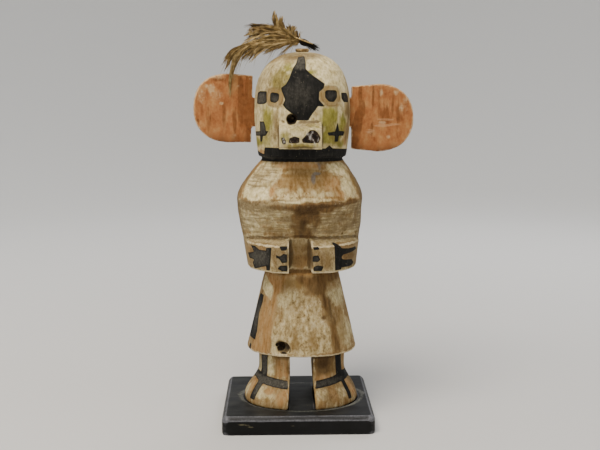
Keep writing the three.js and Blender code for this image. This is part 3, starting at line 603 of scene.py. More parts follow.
# Soft patches, each (azimuth, height, half width, half height, strength), with the last three in millimetres
# and in parts of a full coat
CLAY_PATCHES = [
    # forehead and cheeks
    (38, 270, 28, 13, 1.5), (50, 262, 12, 7, 1.2), (14, 281, 10, 5, 1.1), (-46, 276, 12, 9, 1.25),
    (-66, 242, 12, 8, 1.2), (-30, 240, 6, 9, 1.1), (18, 242, 6, 5, 1.1), (48, 243, 5, 6, 1.4),
    (0, 226, 15, 7, 1.3), (-28, 226, 4, 9, 1.1),
    # chest, mostly flakes along the ridge
    (-52, 177, 15, 4, 1.6), (-66, 190, 6, 12, 1.1), (56, 181, 8, 9, 1.15), (54, 199, 11, 4, 1.15),
    (10, 173.5, 16, 1.9, 1.2), (-12, 176, 10, 5, 0.68), (-24, 180, 8, 6, 0.62), (18, 179, 9, 5, 0.66),
    (-4, 181, 4, 5, 0.75), (32, 178, 10, 3, 0.62), (-12, 172.5, 14, 1.5, 0.95),
    # belly
    (-62, 153, 8, 10, 1.3), (-42, 160, 12, 4, 0.85), (-26, 164, 7, 2.4, 1.0), (-18, 157, 3, 6, 0.85),
    (45, 156, 16, 6, 0.75), (60, 147, 14, 5, 0.75),
    # arms
    (-24, 127, 8, 12, 0.5), (24, 130, 9, 8, 0.66), (-66, 139.5, 22, 2.4, 1.2), (55, 140, 22, 2.4, 1.1),
    (20, 139.5, 16, 2.4, 1.4), (-27, 139.5, 14, 2.4, 1.3), (-40, 117, 30, 1.6, 1.1), (40, 117, 30, 1.6, 1.0),
    # kilt
    (-34, 58, 6, 14, 1.35), (-20, 92, 16, 12, 0.85), (0, 70, 26, 20, 0.9), (60, 92, 16, 12, 0.85),
    (66, 62, 14, 16, 0.9), (30, 60, 7, 12, 1.15), (5, 50, 26, 4, 0.95),
    # boots
    (-52, 33, 4.5, 10, 1.25), (-77, 33, 5, 10, 1.2), (-55, 11, 5, 7, 1.2), (-80, 9, 9, 5, 1.0),
    (-45, 11, 6, 5, 0.8), (54, 11, 6, 6, 0.95), (27, 12, 7, 7, 0.8), (23, 32, 3, 9, 0.7), (76, 32, 5, 7, 0.7),
]
OCHRE_PATCHES = [
    (-12, 200.5, 18, 3.4, 0.95), (8, 200, 14, 3, 0.8), (-82, 188, 6, 16, 0.8), (-36, 180, 3, 6, 0.7),
    (36, 186, 9, 8, 0.8), (45, 178, 5, 3, 0.7), (0, 188, 24, 8, 0.42), (-60, 210, 10, 2.6, 0.9),
    (62, 219, 7, 4, 0.8), (-7, 126, 4, 8, 0.6), (-46, 134, 6, 3, 1.0), (-64, 130.5, 6, 4, 1.1),
    (52, 127, 12, 3, 1.1), (52, 136.5, 14, 2.5, 0.9), (-43, 119, 3, 3, 0.8), (-2, 123, 8, 8, 0.95),
    (-33, 34, 6, 9, 1.05), (-32, 27, 8, 3, 0.9), (-26, 9, 6, 7, 0.95), (-44, 13, 6, 3, 0.75),
    (-74, 12, 4, 8, 0.85), (36, 33, 8, 11, 1.25), (42, 11, 5, 7, 0.95), (71, 12, 5, 8, 0.95),
    (73, 30, 3, 8, 0.7), (40, 110, 10, 3, 0.5), (150, 100, 30, 40, 0.6), (-150, 60, 20, 20, 0.65),
]
GREEN_PATCHES = [
    (-30, 268, 10, 12, 0.75), (-22, 277, 5, 5, 0.8), (-44, 238, 7, 12, 0.8), (-48, 230, 5, 5, 1.0),
    (-50, 220, 10, 7, 0.7), (-70, 218.5, 12, 4, 0.95), (34, 238, 8, 9, 1.35), (38, 224, 11, 10, 1.3),
    (53, 232, 6, 9, 0.95), (50, 218, 8, 4, 0.85), (12, 273.5, 6, 2.4, 0.8), (-18, 222, 5, 7, 0.66),
    (12, 232, 7, 2, 0.6), (0, 217, 18, 2.2, 0.8), (72, 186, 5, 12, 0.45), (-3, 230, 12, 3, 0.4),
]
TAN_PATCHES = [
    # crown, eye rings and cheeks
    (-20, 284, 12, 4, 0.7), (-66, 284, 12, 5, 0.7), (20, 288, 20, 2, 0.4), (-27, 254, 3, 7, 0.9),
    (-45, 254, 4, 6, 0.8), (-38, 260, 9, 2.6, 0.7), (24, 254, 3.4, 5.5, 1.0), (36, 261, 9, 2.4, 0.8),
    (46.5, 254, 3, 5, 0.8), (37, 248, 9, 2, 0.8), (64, 244, 7, 8, 0.9), (64, 226, 7, 9, 0.75),
    (70, 262, 5, 12, 0.6), (-34, 236, 3, 12, 0.6), (17, 242, 3, 5, 0.5),
    # chest, arms and kilt
    (0, 189, 28, 11, 0.5), (26, 188, 12, 10, 0.45), (74, 186, 8, 16, 0.9), (-78, 190, 5, 12, 0.6),
    (-50, 137.6, 16, 2, 0.8), (54, 137.6, 13, 2, 0.85), (44, 62, 3, 14, 1.1), (38, 82, 3, 8, 0.9),
    (-2, 127, 9, 13, 0.6), (-26, 134, 4, 4, 0.5), (27, 126, 3, 10, 0.8), (18, 130, 4, 10, 0.45),
    (-11, 58, 4, 13, 0.75), (16, 57, 5, 12, 0.75), (-6, 105, 14, 4, 0.85), (57, 64, 7, 14, 0.65),
    (-16, 84, 6, 8, 0.4), (-26, 98, 10, 5, 0.35), (50, 30, 6, 6, 0.7),
]
BROWN_PATCHES = [
    # under the ridge: brown paint, with painted shade along the ridge's underside
    (2, 160, 12, 8, 1.4), (12, 168, 24, 4.5, 1.5), (34, 170, 13, 3, 1.3), (-1, 149, 9, 9, 1.2),
    (19, 154, 4, 7, 0.8), (0, 143, 14, 3, 0.75), (54, 171, 12, 2.6, 0.95), (-56, 171.5, 18, 2.6, 0.5),
    (-25, 168, 14, 3, 0.65), (-23, 157, 7, 4, 0.5), (-42, 148, 16, 3, 0.5), (-30, 144, 14, 3, 0.55),
    (67, 158, 4, 11, 0.6), (73, 144, 1.3, 1.6, 1.1), (54, 145, 1, 1.5, 0.9),
    # neck, boots, kilt and hands, with painted shade under the head, the hem and the arms
    (0, 205, 44, 2.4, 0.7), (32, 202, 8, 3, 0.6), (36, 35, 10, 9, 1.05), (38, 40.5, 18, 3.5, 1.3),
    (-30, 41, 12, 2, 0.6), (-22, 30, 1.6, 10, 0.7), (32, 76, 3.2, 2.4, 0.9), (22, 106, 14, 4, 0.75),
    (46, 108, 16, 4, 1.1), (34, 9, 6, 4, 0.6), (-34, 20, 8, 12, 0.3), (-4, 128, 8, 13, 0.5),
    (60, 46.5, 20, 1.5, 0.5), (8, 96, 4, 3, 0.5),
    (42, 60, 3, 14, 0.62), (56, 127, 14, 5, 0.62), (56, 136.5, 12, 2, 0.55), (-60, 131, 8, 3, 0.5),
    (4, 134, 8, 4, 0.7), (1, 143.5, 9, 3, 1.0), (41, 88, 4, 7, 0.9), (45, 70, 3, 8, 0.8),
    (60, 178, 3, 10, 0.4),
]
SOILED_PATCHES = [
    (-46, 268, 20, 18, 0.66), (-14, 287, 26, 4, 1.1), (-32, 268, 10, 10, 0.8), (-70, 262, 8, 20, 0.75),
    (-40, 224, 22, 9, 0.6), (4, 233, 16, 3, 0.66), (-4, 217, 18, 2, 0.7), (44, 226, 12, 14, 0.5),
    (68, 236, 8, 24, 0.7), (-34, 234, 4, 14, 0.7), (-36, 224, 4, 4, 0.9), (-54, 190, 14, 12, 0.5),
    (-40, 168, 30, 5, 0.35), (48, 156, 26, 12, 0.9), (64, 166, 10, 6, 0.8), (-36, 147, 18, 5, 0.6),
    (76, 160, 8, 22, 0.95), (-78, 165, 5, 24, 0.7), (-24, 126, 12, 12, 1.2), (20, 126, 12, 12, 1.2),
    (58, 126, 18, 12, 1.2), (-58, 126, 16, 10, 0.5), (0, 66, 34, 22, 0.6), (0, 92, 26, 12, 0.66),
    (62, 74, 18, 28, 0.4), (42, 12, 18, 12, 1.0), (40, 34, 16, 10, 0.9), (-36, 12, 20, 10, 0.5),
    (-36, 34, 12, 10, 0.45), (86, 14, 10, 14, 0.9), (-90, 30, 6, 10, 0.7),
    (0, 152, 22, 10, 0.7), (80, 165, 9, 34, 1.25), (-82, 168, 8, 34, 1.2), (44, 224, 8, 12, 0.72),
    (56, 127, 16, 5, 1.3), (8, 98, 22, 8, 0.8), (44, 78, 8, 14, 0.85),
]
SHADE_PATCHES = [
    # painted shade under the ridge, in the lap, below the hem and under the muzzle
    (4, 165, 12, 5, 0.85), (16, 169, 22, 2.0, 0.85), (1, 154, 5, 8, 0.7), (-2, 143, 8, 2, 0.7),
    (0, 114, 26, 2.5, 0.7),
    (38, 42, 20, 2.6, 0.95), (36, 36, 7, 6, 0.72), (-40, 42.5, 20, 1.6, 0.8), (-2, 215.5, 22, 1.4, 0.8),
    (-28, 173.5, 16, 1.2, 0.62), (-17, 128, 1.4, 10, 0.7), (10, 128, 1.4, 10, 0.7), (42, 82, 2, 8, 0.6),
]
WORN_BLACK_PATCHES = [
    (-2, 284, 8, 4, 1.2), (-3, 278, 6, 4, 0.8), (-57, 253, 11, 6, 0.8), (-35, 253, 6, 5, 0.55),
    (-6, 256, 18, 16, 0.42), (36, 255, 6, 5, 0.4), (58, 254, 8, 5, 0.45), (-55, 230, 8, 8, 0.75),
    (-66, 225, 10, 3, 0.8), (45, 226, 10, 8, 0.3),
    (-62, 34, 6, 11, 1.05), (-60, 14, 5, 9, 1.0), (-50, 20, 34, 4, 1.05), (40, 20, 22, 4, 0.55),
    (-52, 126, 14, 10, 0.75), (-38, 126, 3, 10, 0.5), (-72, 72, 6, 18, 0.6), (-20, 126, 6, 12, 0.4),
    (15, 126, 6, 12, 0.5), (34, 209, 10, 2, 0.4), (-58, 206, 8, 3, 0.5), (50, 126, 14, 8, 0.25),
]
SLATE_PATCHES = [
    (15, 190, 2, 4.5, 1.0), (21, 194, 4, 1.5, 0.95), (27, 200, 2, 4, 0.7), (-22.5, 52, 2.6, 3.2, 0.75),
]
CRUST_PATCHES = [
    (0, 66, 26, 20, 1.0), (6, 86, 16, 9, 0.95), (-28, 64, 9, 14, 1.05), (28, 62, 8, 15, 1.0),
    (-14, 98, 14, 8, 0.4), (18, 134, 6, 4, 0.6), (-10, 176, 30, 5, 0.6), (14, 174, 18, 3, 0.6),
]
# Painted shade inside the face's nail hole and the kilt's knot hole; the nail hole's middle is kept lighter,
# its wood core.
HOLLOWS = [
    (-14, 237, 4.2, 4.2, 1.3), (-30, 52.2, 1.9, 3.4, 1.2), (-33.5, 54.2, 1.8, 1.3, 1.2),
    (-24, 47.8, 4, 0.8, 0.9),
    (-17, 51, 0.9, 3, 0.8),
]
HOLLOW_MIDDLE = [(-15, 237.5, 1.7, 1.7, 0.75)]


def black_paint(skin):
    """How far inside the black paint each vertex is, in millimetres."""
    face = [FACE_DIAMOND, LEFT_TEMPLE, RIGHT_TEMPLE, *LEFT_CROSS, *RIGHT_CROSS]
    black = np.max([skin.inside(outline) for outline in face], axis=0)
    for eye in (LEFT_EYE, RIGHT_EYE):
        black = np.maximum(black, skin.inside(eye, EYE_ROUNDING))
    teeth = np.max([skin.inside(outline) for outline in TEETH], axis=0)
    black = np.maximum(black, np.where(skin.y < MUZZLE_FRONT, teeth, FAR_OUTSIDE))
    sleeves = [skin.inside(outline) for outline in LEFT_SLEEVE_MARK + RIGHT_SLEEVE_MARK]
    outer = (skin.radius > SLEEVE_RADIUS) & (skin.height > SLEEVE_FOOT)
    black = np.maximum(black, np.where(outer, np.max(sleeves, axis=0), FAR_OUTSIDE))
    dots = np.max([skin.inside(outline) for outline in KNUCKLE_DOTS], axis=0)
    black = np.maximum(black, np.where(skin.y < KNUCKLES_FRONT, dots, FAR_OUTSIDE))
    black = np.maximum(black, skin.inside(KILT_STRIPE))
    black = np.maximum(black, skin.inside(HEM_NOTCH))

    straps = np.max([skin.inside(outline) for outline in STRAPS], axis=0)
    behind = (np.abs(skin.azimuth) - BACK_STRAP_AZIMUTH) * 0.5
    back_strap = np.minimum(BACK_STRAP_HALF_WIDTH - np.abs(skin.height - BACK_STRAP_HEIGHT), behind)
    on_boots = (skin.height < BOOT_HEIGHTS[1]) & (np.abs(skin.x - LEG_GAP_X) > BETWEEN_LEGS)
    black = np.maximum(black, np.where(on_boots, np.maximum(straps, back_strap), FAR_OUTSIDE))

    azimuths, tops = zip(*BAND_TOP)
    band = np.minimum(np.interp(skin.azimuth, azimuths, tops) - skin.height, skin.height - BAND_FOOT)
    return np.maximum(black, band)


def paint_figure(piece, skin, places, edges):
    """Writes the figure's coats of paint, wear and dirt on its mesh, each by how fully it covers a vertex."""
    head = skin.between(*HEAD_HEIGHTS)
    kilt = skin.between(*KILT_HEIGHTS)
    belly = skin.between(*BELLY_HEIGHTS)
    chest = skin.between(*CHEST_HEIGHTS)
    arms = skin.between(*ARM_HEIGHTS, 1)
    boots = skin.between(*BOOT_HEIGHTS)
    azimuth = np.abs(skin.azimuth)
    round_the_back = np.clip((azimuth - 88) / 20, 0, 1)
    level_strokes = rough(places, (11, 11, 1.7), 8)
    upright_strokes = rough(places, (2, 2, 12), 9)
    mottle = rough(places, (5, 5, 6), 10)

    black = black_paint(skin)
    hold(piece, "black", filled(black, 1.5))
    hold(piece, "dust", skin.patches(WORN_BLACK_PATCHES) * filled(black - 0.4, 0.8))
    hold(piece, "wood_clouds", 0.5 + 0.2 * mottle)

    clay = 0.95 * head + (0.42 + 0.14 * upright_strokes) * kilt + (0.68 + 0.36 * level_strokes) * belly
    clay += (0.36 + 0.24 * level_strokes) * chest + (0.62 + 0.2 * upright_strokes) * arms
    clay += (0.42 + 0.2 * upright_strokes) * boots
    for outline in (LEFT_SHOULDER_CLAY, RIGHT_SHOULDER_CLAY):
        shoulder = filled(skin.inside(outline) + 0.5 * skin.drift[0], 5)
        clay = np.maximum(clay, (0.9 + 0.4 * level_strokes) * shoulder)
    wedge = filled(skin.inside(KILT_CLAY_WEDGE) + 0.5 * mottle, 1.5)
    clay = np.maximum.reduce([clay, 1.4 * wedge, skin.patches(CLAY_PATCHES)])
    hold(piece, "clay", np.maximum(clay, round_the_back * (0.92 + 0.35 * upright_strokes)))

    brushed = belly * (0.62 + 0.35 * level_strokes)
    brushed += (0.6 + 0.4 * level_strokes) * filled(skin.inside(LEFT_SHOULDER_CLAY), 5)
    brushed += skin.patches([(-45, 169, 34, 3.5, 0.9)]) - skin.patches([(-52, 177, 14, 4, 0.9)])
    hold(piece, "brushed", np.clip(brushed, 0, 1))

    on_sleeve = np.clip((azimuth - 36) / 3, 0, 1) * np.clip((86 - azimuth) / 8, 0, 1)
    on_sleeve = on_sleeve * (skin.radius > SLEEVE_RADIUS)
    sleeves = 0.5 * skin.between(118.5, 137, 3) * on_sleeve
    kilt_side = (0.95 + 0.3 * upright_strokes) * filled(skin.inside(KILT_OCHRE) + 0.4 * skin.drift[0], 3)
    ochre = np.maximum.reduce([sleeves, kilt_side, skin.patches(OCHRE_PATCHES)])
    hold(piece, "ochre", ochre * (1 - wedge))
    hold(piece, "green", skin.patches(GREEN_PATCHES))
    # Each eye has a tan ring with a thin brown outline.
    round_eyes = np.max([skin.inside(eye, EYE_ROUNDING) for eye in (LEFT_EYE, RIGHT_EYE)], axis=0)
    ring_outline = np.clip(1.3 - np.abs(round_eyes + EYE_RING_WIDE), 0, 1)
    eye_rings = 0.75 * filled(round_eyes + EYE_RING_WIDE, 0.8)
    hold(piece, "tan", np.maximum(skin.patches(TAN_PATCHES), eye_rings))

    brown = (1.0 + 0.2 * mottle) * filled(skin.inside(KILT_BROWN) + 0.4 * skin.drift[0], 3)
    back_stains = round_the_back * (0.15 + 0.4 * rough(places, (16, 16, 28), 17))
    # The brown coat is brown paint, and painted shade where its patches lie under the ridge, the head, the
    # hem and the arms.
    brown_paint_and_shade = np.maximum.reduce([brown, back_stains, 0.5 * ring_outline, skin.patches(BROWN_PATCHES)])
    hold(piece, "brown", brown_paint_and_shade)
    hold(piece, "slate", skin.patches(SLATE_PATCHES))
    hold(piece, "crust", skin.patches(CRUST_PATCHES))

    soiled = 0.3 * head + 0.18 * chest + 0.38 * belly + 0.78 * arms + 0.52 * kilt + 0.42 * boots
    soiled = np.maximum.reduce([soiled, 0.5 * round_the_back, skin.patches(SOILED_PATCHES)])
    cleanest = skin.patches([
        (36, 271, 30, 15, 0.25), (-50, 177, 14, 4, 0.4), (-60, 100, 8, 7, 0.6), (-52, 33, 4, 9, 0.3),
    ])
    hold(piece, "soiled", soiled - cleanest)

    hold(piece, "hole_shade", skin.patches(HOLLOWS) - skin.patches(HOLLOW_MIDDLE))
    on_muzzle = filled(skin.inside(MUZZLE_TEAR), 1)
    # The teeth take the torn wood's colours more lightly, for their painted glints.
    for tooth in TEETH:
        on_muzzle = np.maximum(on_muzzle, 0.72 * filled(skin.inside(tooth), 1))
    hold(piece, "torn_wood", np.where(skin.y < MUZZLE_FRONT, on_muzzle, 0))

    rims = np.maximum.reduce([skin.between(44, 49, 1), skin.between(113, 119, 1), skin.between(136, 142, 1)])
    worn = 0.4 + 0.15 * upright_strokes + 0.45 * rims + 0.2 * skin.between(170, 176, 1)
    hold(piece, "rubbed", np.clip(edges / RUBBED_EDGE, 0, 1.2) * worn)
    # Painted shade: darker in the corners between forms, and in patches under the ridge, in the lap, below
    # the hem and under the muzzle.
    corners = np.clip(-edges / SHADED_CORNER, 0, 1)
    hold(piece, "painted_shade", np.maximum(corners, skin.patches(SHADE_PATCHES)))


def carve_figure(piece, skin, places):
    """Works the knife's long facets, the grain, the cracked clay and the torn muzzle into the surface."""
    facets = 0.4 * rough(places, (11, 11, 26), 1) + 0.2 * rough(places, (5, 5, 15), 2)
    fine_grain = 0.08 * rough(places, (1.6, 1.6, 14), 3)
    crust = skin.patches([(0, 70, 30, 24, 1.0), (-26, 62, 10, 12, 1.0)])
    lumps = 0.24 * crust * rough(places, (2.6, 2.6, 3.6), 4)
    strokes = 0.12 * skin.between(141, 200, 8) * rough(places, (14, 14, 1.8), 5)
    tear = np.where(skin.y < MUZZLE_FRONT + 2, filled(skin.inside(MUZZLE_TEAR), 1.2), 0)
    torn = tear * (1.0 + 1.1 * rough(places, (1.9, 1.9, 1.9), 6))
    knot = 1.6 * skin.patches([(-30, 52, 2.6, 4, 1.0), (-22, 51.5, 3, 4, 0.5)])
    depth = facets + fine_grain + lumps + strokes - np.maximum(torn, 0) - knot - SKIN_ALLOWANCE
    crown = crown_place()
    under_ring = np.exp(-((np.hypot(places[:, 0] - crown.x, places[:, 1] - crown.y) / RING_SEAT) ** 4))
    depth *= 1 - under_ring * (skin.height > MUZZLE_HEIGHT)
    moved = places + normals_of(piece) * depth[:, None]
    # The soles stay flat in their seat.
    moved[:, 2] = np.maximum(moved[:, 2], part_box("carved_figure")[0].z / MM)
    place_vertices(piece, keep_in_node(moved, "carved_figure"))


def make_figure():
    piece = fine_copy("carved_figure", "painted_figure", FIGURE_MESH, 3)
    places = vertices_of(piece)
    skin = Skin(places)
    paint_figure(piece, skin, places, proud(piece, places, 4))
    carve_figure(piece, skin, places)
    return finished(piece, [painted_cottonwood()], "carved_figure")


# The ears, where a place is how far right of the middle and how high above the plinth it is, in millimetres

LEFT_EAR_STREAKS = [
    (-46, 252, 3, 22, 0.95), (-41, 246, 2.4, 26, 1.05), (-37, 250, 4, 24, 1.1), (-34, 236, 3, 16, 0.8),
    (-51, 236, 2, 12, 0.7), (-64, 268, 6, 1.8, 0.7), (-81, 235, 1.4, 1.6, 0.9), (-60, 240, 1.6, 16, 0.55),
    (-72, 236, 2, 14, 0.5),
]
LEFT_EAR_WORN = [
    (-70, 261, 3.6, 4.2, 0.8), (-74, 263, 2, 1.8, 0.7), (-62, 249, 2, 1.4, 0.95), (-66, 256, 6, 6, 0.45),
    (-64, 270, 7, 2.5, 0.5), (-48, 263, 1.6, 2, 0.6), (-78, 256, 5, 9, 0.45), (-38, 269, 1.6, 1.6, 0.55),
    (-52, 222, 2.4, 4, 0.45),
]
RIGHT_EAR_STREAKS = [
    (51.5, 257, 1.4, 10, 1.2), (53, 245, 3, 8, 1.0), (50, 235, 3.5, 10, 1.1), (46, 222, 4, 12, 1.2),
    (62, 255, 1.2, 12, 0.7), (72, 240, 6, 8, 0.55), (83, 240, 4, 9, 0.55), (61, 228, 1.4, 6, 0.8),
    (67, 246, 1.2, 14, 0.6), (78, 250, 1.2, 12, 0.5),
]
RIGHT_EAR_WORN = [
    (68.5, 258, 1.8, 3.4, 0.75), (81, 258, 3, 2.4, 0.6), (85.5, 245, 2.4, 5, 0.6), (75, 221.5, 2.2, 2, 0.65),
    (70, 233.5, 5, 1.6, 0.6), (89, 252, 3, 10, 0.5), (60, 224, 3, 3, 0.4),
]
RIGHT_EAR_SCRATCHES = [
    (70, 231, 9, 1.2, 1.2), (72, 236, 9, 1.0, 1.0), (80, 232, 6, 1.2, 0.9), (60, 226, 5, 3, 0.7),
]


def make_ear(node, material, seed, streaks, worn, scratches):
    piece = fine_copy(node, node + "_board", EAR_MESH, 2)
    places = vertices_of(piece)
    edges = proud(piece, places, 4)
    low, high = (np.array(corner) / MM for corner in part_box(node))
    x = places[:, 0]
    height = places[:, 2] - PLINTH_TOP
    front = np.where(places[:, 1] < (low[1] + high[1]) / 2, 1.0, 0.5)
    mottle = rough(places, (6, 6, 10), seed + 2)
    hold(piece, "streaked", 0.3 + front * soft_patches(x, height, streaks))
    hold(piece, "worn", front * soft_patches(x, height, worn) + 0.12 * mottle)
    hold(piece, "scratched", 0.2 + front * soft_patches(x, height, scratches))
    # Painted shade: darker towards the board's foot, near its root by the head, and in its corners.
    foot = np.clip((low[2] - places[:, 2] + 14) / 14, 0, 1)
    root = np.clip(1 - (np.abs(x - FIGURE_AXIS_X) - 38) / 10, 0, 1)
    shaded = 0.65 * foot + 0.45 * root + 0.2 * mottle
    hold(piece, "painted_shade", np.maximum(shaded, np.clip(-edges / SHADED_CORNER, 0, 1)))
    # The rims are rubbed pale, and paler on top and outside than underneath as a painted highlight from
    # above.
    lit_from_above = 0.55 + 0.45 * np.clip((places[:, 2] - low[2]) / 12, 0, 1)
    hold(piece, "rubbed", np.clip(edges / RUBBED_EDGE, 0, 1) * lit_from_above)
    bumps = 0.28 * rough(places, (8, 8, 18), seed) + 0.1 * rough(places, (2.2, 4, 12), seed + 1)
    moved = places + normals_of(piece) * (bumps - 0.25)[:, None]
    place_vertices(piece, keep_in_node(moved, node))
    return finished(piece, [material], node)


def make_ears():
    material = painted_ear_board()
    make_ear("left_ear", material, 11, LEFT_EAR_STREAKS, LEFT_EAR_WORN, [])
    make_ear("right_ear", material, 21, RIGHT_EAR_STREAKS, RIGHT_EAR_WORN, RIGHT_EAR_SCRATCHES)


# The plinth: how far the ring of pale dust stands off the soles, and the ovals that they roughly fill
TIDEMARK_OFF = 2.6
TIDEMARK_WIDE = 1.8
SOLES_HALF_WIDTH = 48.5
SOLES_FRONT = 36.5
SOLES_BACK = 27
FRONT_SCRATCHES = [(-44, 9, 8, 1.0, 1.1), (-38, 7, 5, 0.8, 1.0), (-4, 8, 7, 0.9, 0.9), (35, 5, 8, 0.8, 0.7)]


def make_plinth():
    """The board, with dust and painted light on its top, a pale tidemark round the feet, scratches along its
    front and a painted highlight along its top edges.
    """
    piece = fine_copy("plinth", "black_plinth", PLINTH_MESH, 2)
    places = vertices_of(piece)
    edges = proud(piece, places, 4)
    x = places[:, 0] - FIGURE_AXIS_X
    y = places[:, 1]
    soles_reach = np.where(y < 0, SOLES_FRONT, SOLES_BACK)
    away = (np.hypot(x / SOLES_HALF_WIDTH, y / soles_reach) - 1) * soles_reach
    on_top = places[:, 2] > PLINTH_TOP - 1.5
    ring = np.exp(-(((away - TIDEMARK_OFF) / TIDEMARK_WIDE) ** 2))
    mottle = rough(places, (14, 14, 14), 31)
    streaks = rough(places, (16, 5, 5), 32)
    # Mottled dust, with painted light: the top grows paler towards the left, where the light falls.
    dust = 0.41 - 0.0035 * x + 0.25 * mottle + 0.2 * streaks
    hold(piece, "dust", np.where(on_top, dust, 0.05))
    hold(piece, "tidemark", np.where(on_top, ring * (0.62 + 0.4 * mottle), 0))
    scratched = soft_patches(places[:, 0], places[:, 2], FRONT_SCRATCHES)
    hold(piece, "scuff", np.where(y < -48, scratched, np.where(on_top, 0.45, 0.2)))
    # Rubbed grey edges, made twice as pale round the top by a painted highlight where the edges catch the
    # light.
    lit_top_edges = np.where(places[:, 2] > PLINTH_TOP - 4, 1.0, 0.5)
    hold(piece, "rubbed", np.clip(edges / RUBBED_EDGE, 0, 1) * lit_top_edges)
    return finished(piece, [black_lacquer()], "plinth")


# The plume


def round_body(path, radii, sides, closed=False):
    """Vertices and faces of a tube of given radii along a path; a closed one joins its ends."""
    path = [Vector(p) for p in path]
    count = len(path)
    corners = []
    faces = []
    across = Vector((0, 1, 0))
    for i, place in enumerate(path):
        before = path[(i - 1) % count] if closed else path[max(i - 1, 0)]
        after = path[(i + 1) % count] if closed else path[min(i + 1, count - 1)]
        ahead = (after - before).normalized()
        across = (across - ahead * across.dot(ahead)).normalized()
        up = ahead.cross(across)
        for k in range(sides):
            angle = 2 * math.pi * k / sides
            corners.append(place + (across * math.cos(angle) + up * math.sin(angle)) * radii[i])
    for i in range(count if closed else count - 1):
        low = i * sides
        high = ((i + 1) % count) * sides
        for k in range(sides):
            turn = (k + 1) % sides
            faces.append((low + k, low + turn, high + turn, high + k))
    if not closed:
        faces.append(tuple(reversed(range(sides))))
        faces.append(tuple(range((count - 1) * sides, count * sides)))
    return corners, faces


class Bundle:
    """Gathers strands into one piece, with two numbers for each strand's colour and a material for each."""

    def __init__(self):
        self.corners = []
        self.faces = []
        self.shades = []
        self.pales = []
        self.materials = []

    def strand(self, path, radii, sides=3, shade=0.0, pale=0.0, material=0, closed=False):
        corners, faces = round_body(path, radii, sides, closed)
        start = len(self.corners)
        self.corners += corners
        self.faces += [tuple(start + i for i in face) for face in faces]
        self.shades += [shade] * len(corners)
        self.pales += [pale] * len(corners)
        self.materials += [material] * len(faces)

    def piece(self, name):
        mesh = bpy.data.meshes.new(name)
        mesh.from_pydata([c * MM for c in self.corners], [], self.faces)
        made = bpy.data.objects.new(name, mesh)
        bpy.context.scene.collection.objects.link(made)
        mesh.polygons.foreach_set("material_index", self.materials)
        mesh.polygons.foreach_set("use_smooth", [True] * len(mesh.polygons))
        hold(made, "shade", self.shades)
        hold(made, "pale", self.pales)
        return made


def crown_place():
    """The middle of the crown's flat top, under the cord ring."""
    low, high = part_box("crown_cord_ring")
    return Vector(((low.x + high.x) / 2, (low.y + high.y) / 2, low.z)) / MM


SIDEWAYS = Vector((0, 1, 0))
FORWARD = Vector((0, -1, 0))
RING_SINKS = 0.3
BINDING_DROOP = math.radians(20)
BINDING_ALONG = Vector((math.cos(BINDING_DROOP), 0, -math.sin(BINDING_DROOP)))
BINDING_UP = Vector((math.sin(BINDING_DROOP), 0, math.cos(BINDING_DROOP)))
BINDING_RADIUS = 2.9
BINDING_BARE = 2.4
BINDING_WOUND = 8.5
YARN_RADIUS = 0.55
YARN_PITCH = 0.95
LOOSE_YARNS = 130


def binding_mouth():
    """The left end of the binding's middle line."""
    low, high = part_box("plume_binding")
    across = BINDING_RADIUS * 0.85
    left_edge = low.x / MM + across * math.sin(BINDING_DROOP)
    top_edge = high.z / MM - across * math.cos(BINDING_DROOP)
    return Vector((left_edge, 0, top_edge))


def make_cord_ring(rng):
    """Two plies of cord twisted round each other, laid in a ring on the crown, with fibres standing out."""
    low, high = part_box("crown_cord_ring")
    thick = (high.z - low.z) / MM
    middle = crown_place() + Vector((0, 0, thick / 2 - RING_SINKS))
    ring = (high.x - low.x) / MM / 2 - thick / 2
    ply = thick * 0.29
    twists = 9
    steps = 150
    bundle = Bundle()
    for start in (0, math.pi):
        path = []
        for i in range(steps):
            turn = 2 * math.pi * i / steps
            twist = twists * turn + start
            out = ring + (thick / 2 - ply) * math.cos(twist)
            up = (thick / 2 - ply) * math.sin(twist)
            path.append(middle + Vector((out * math.cos(turn), out * math.sin(turn), up)))
        bundle.strand(path, [ply * rng.uniform(0.85, 1.0) for _ in range(steps)], 8, closed=True)
    return finished(bundle.piece("cord_ring"), [fibre_cord()], "crown_cord_ring")


def make_binding(rng):
    """Black yarn wound round the quills, with its frayed ends trailing down to the right."""
    mouth = binding_mouth()
    bundle = Bundle()
    turns = (BINDING_WOUND - BINDING_BARE) / YARN_PITCH
    steps = int(turns * 18)
    path = []
    for i in range(steps + 1):
        share = i / steps
        angle = 2 * math.pi * turns * share
        radius = (BINDING_RADIUS - YARN_RADIUS) * (0.8 + 0.2 * math.sin(math.pi * share)) + rng.normal(0,
            0.06)
        along = BINDING_BARE + (BINDING_WOUND - BINDING_BARE) * share
        around = SIDEWAYS * math.cos(angle) + BINDING_UP * math.sin(angle)
        path.append(mouth + BINDING_ALONG * along + around * radius)
    bundle.strand(path, [YARN_RADIUS] * len(path), 7)
    core = [mouth + BINDING_ALONG * d for d in (BINDING_BARE - 1, 4, 6, BINDING_WOUND)]
    bundle.strand(core, [1.5, 1.9, 1.9, 1.2], 10)
    lowest = crown_place().z + 0.4
    for _ in range(LOOSE_YARNS):
        start = mouth + BINDING_ALONG * rng.uniform(5, 10)
        angle = rng.uniform(0, 2 * math.pi)
        around = SIDEWAYS * math.cos(angle) + BINDING_UP * math.sin(angle)
        reach = rng.uniform(2, 11)
        bend = BINDING_UP * rng.normal(-1.3, 1.2) + SIDEWAYS * rng.normal(0, 1.1)
        points = []
        for i in range(5):
            share = i / 4
            out = 0.9 + rng.uniform(0.2, 1.5) * share
            place = start + BINDING_ALONG * (reach * share) + around * out + bend * share**2
            place.z = max(place.z, lowest)
            points.append(place)
        bundle.strand(points, [0.2, 0.26, 0.22, 0.16, 0.05], 3)
    return finished(bundle.piece("wound_binding"), [black_wool()], "plume_binding")


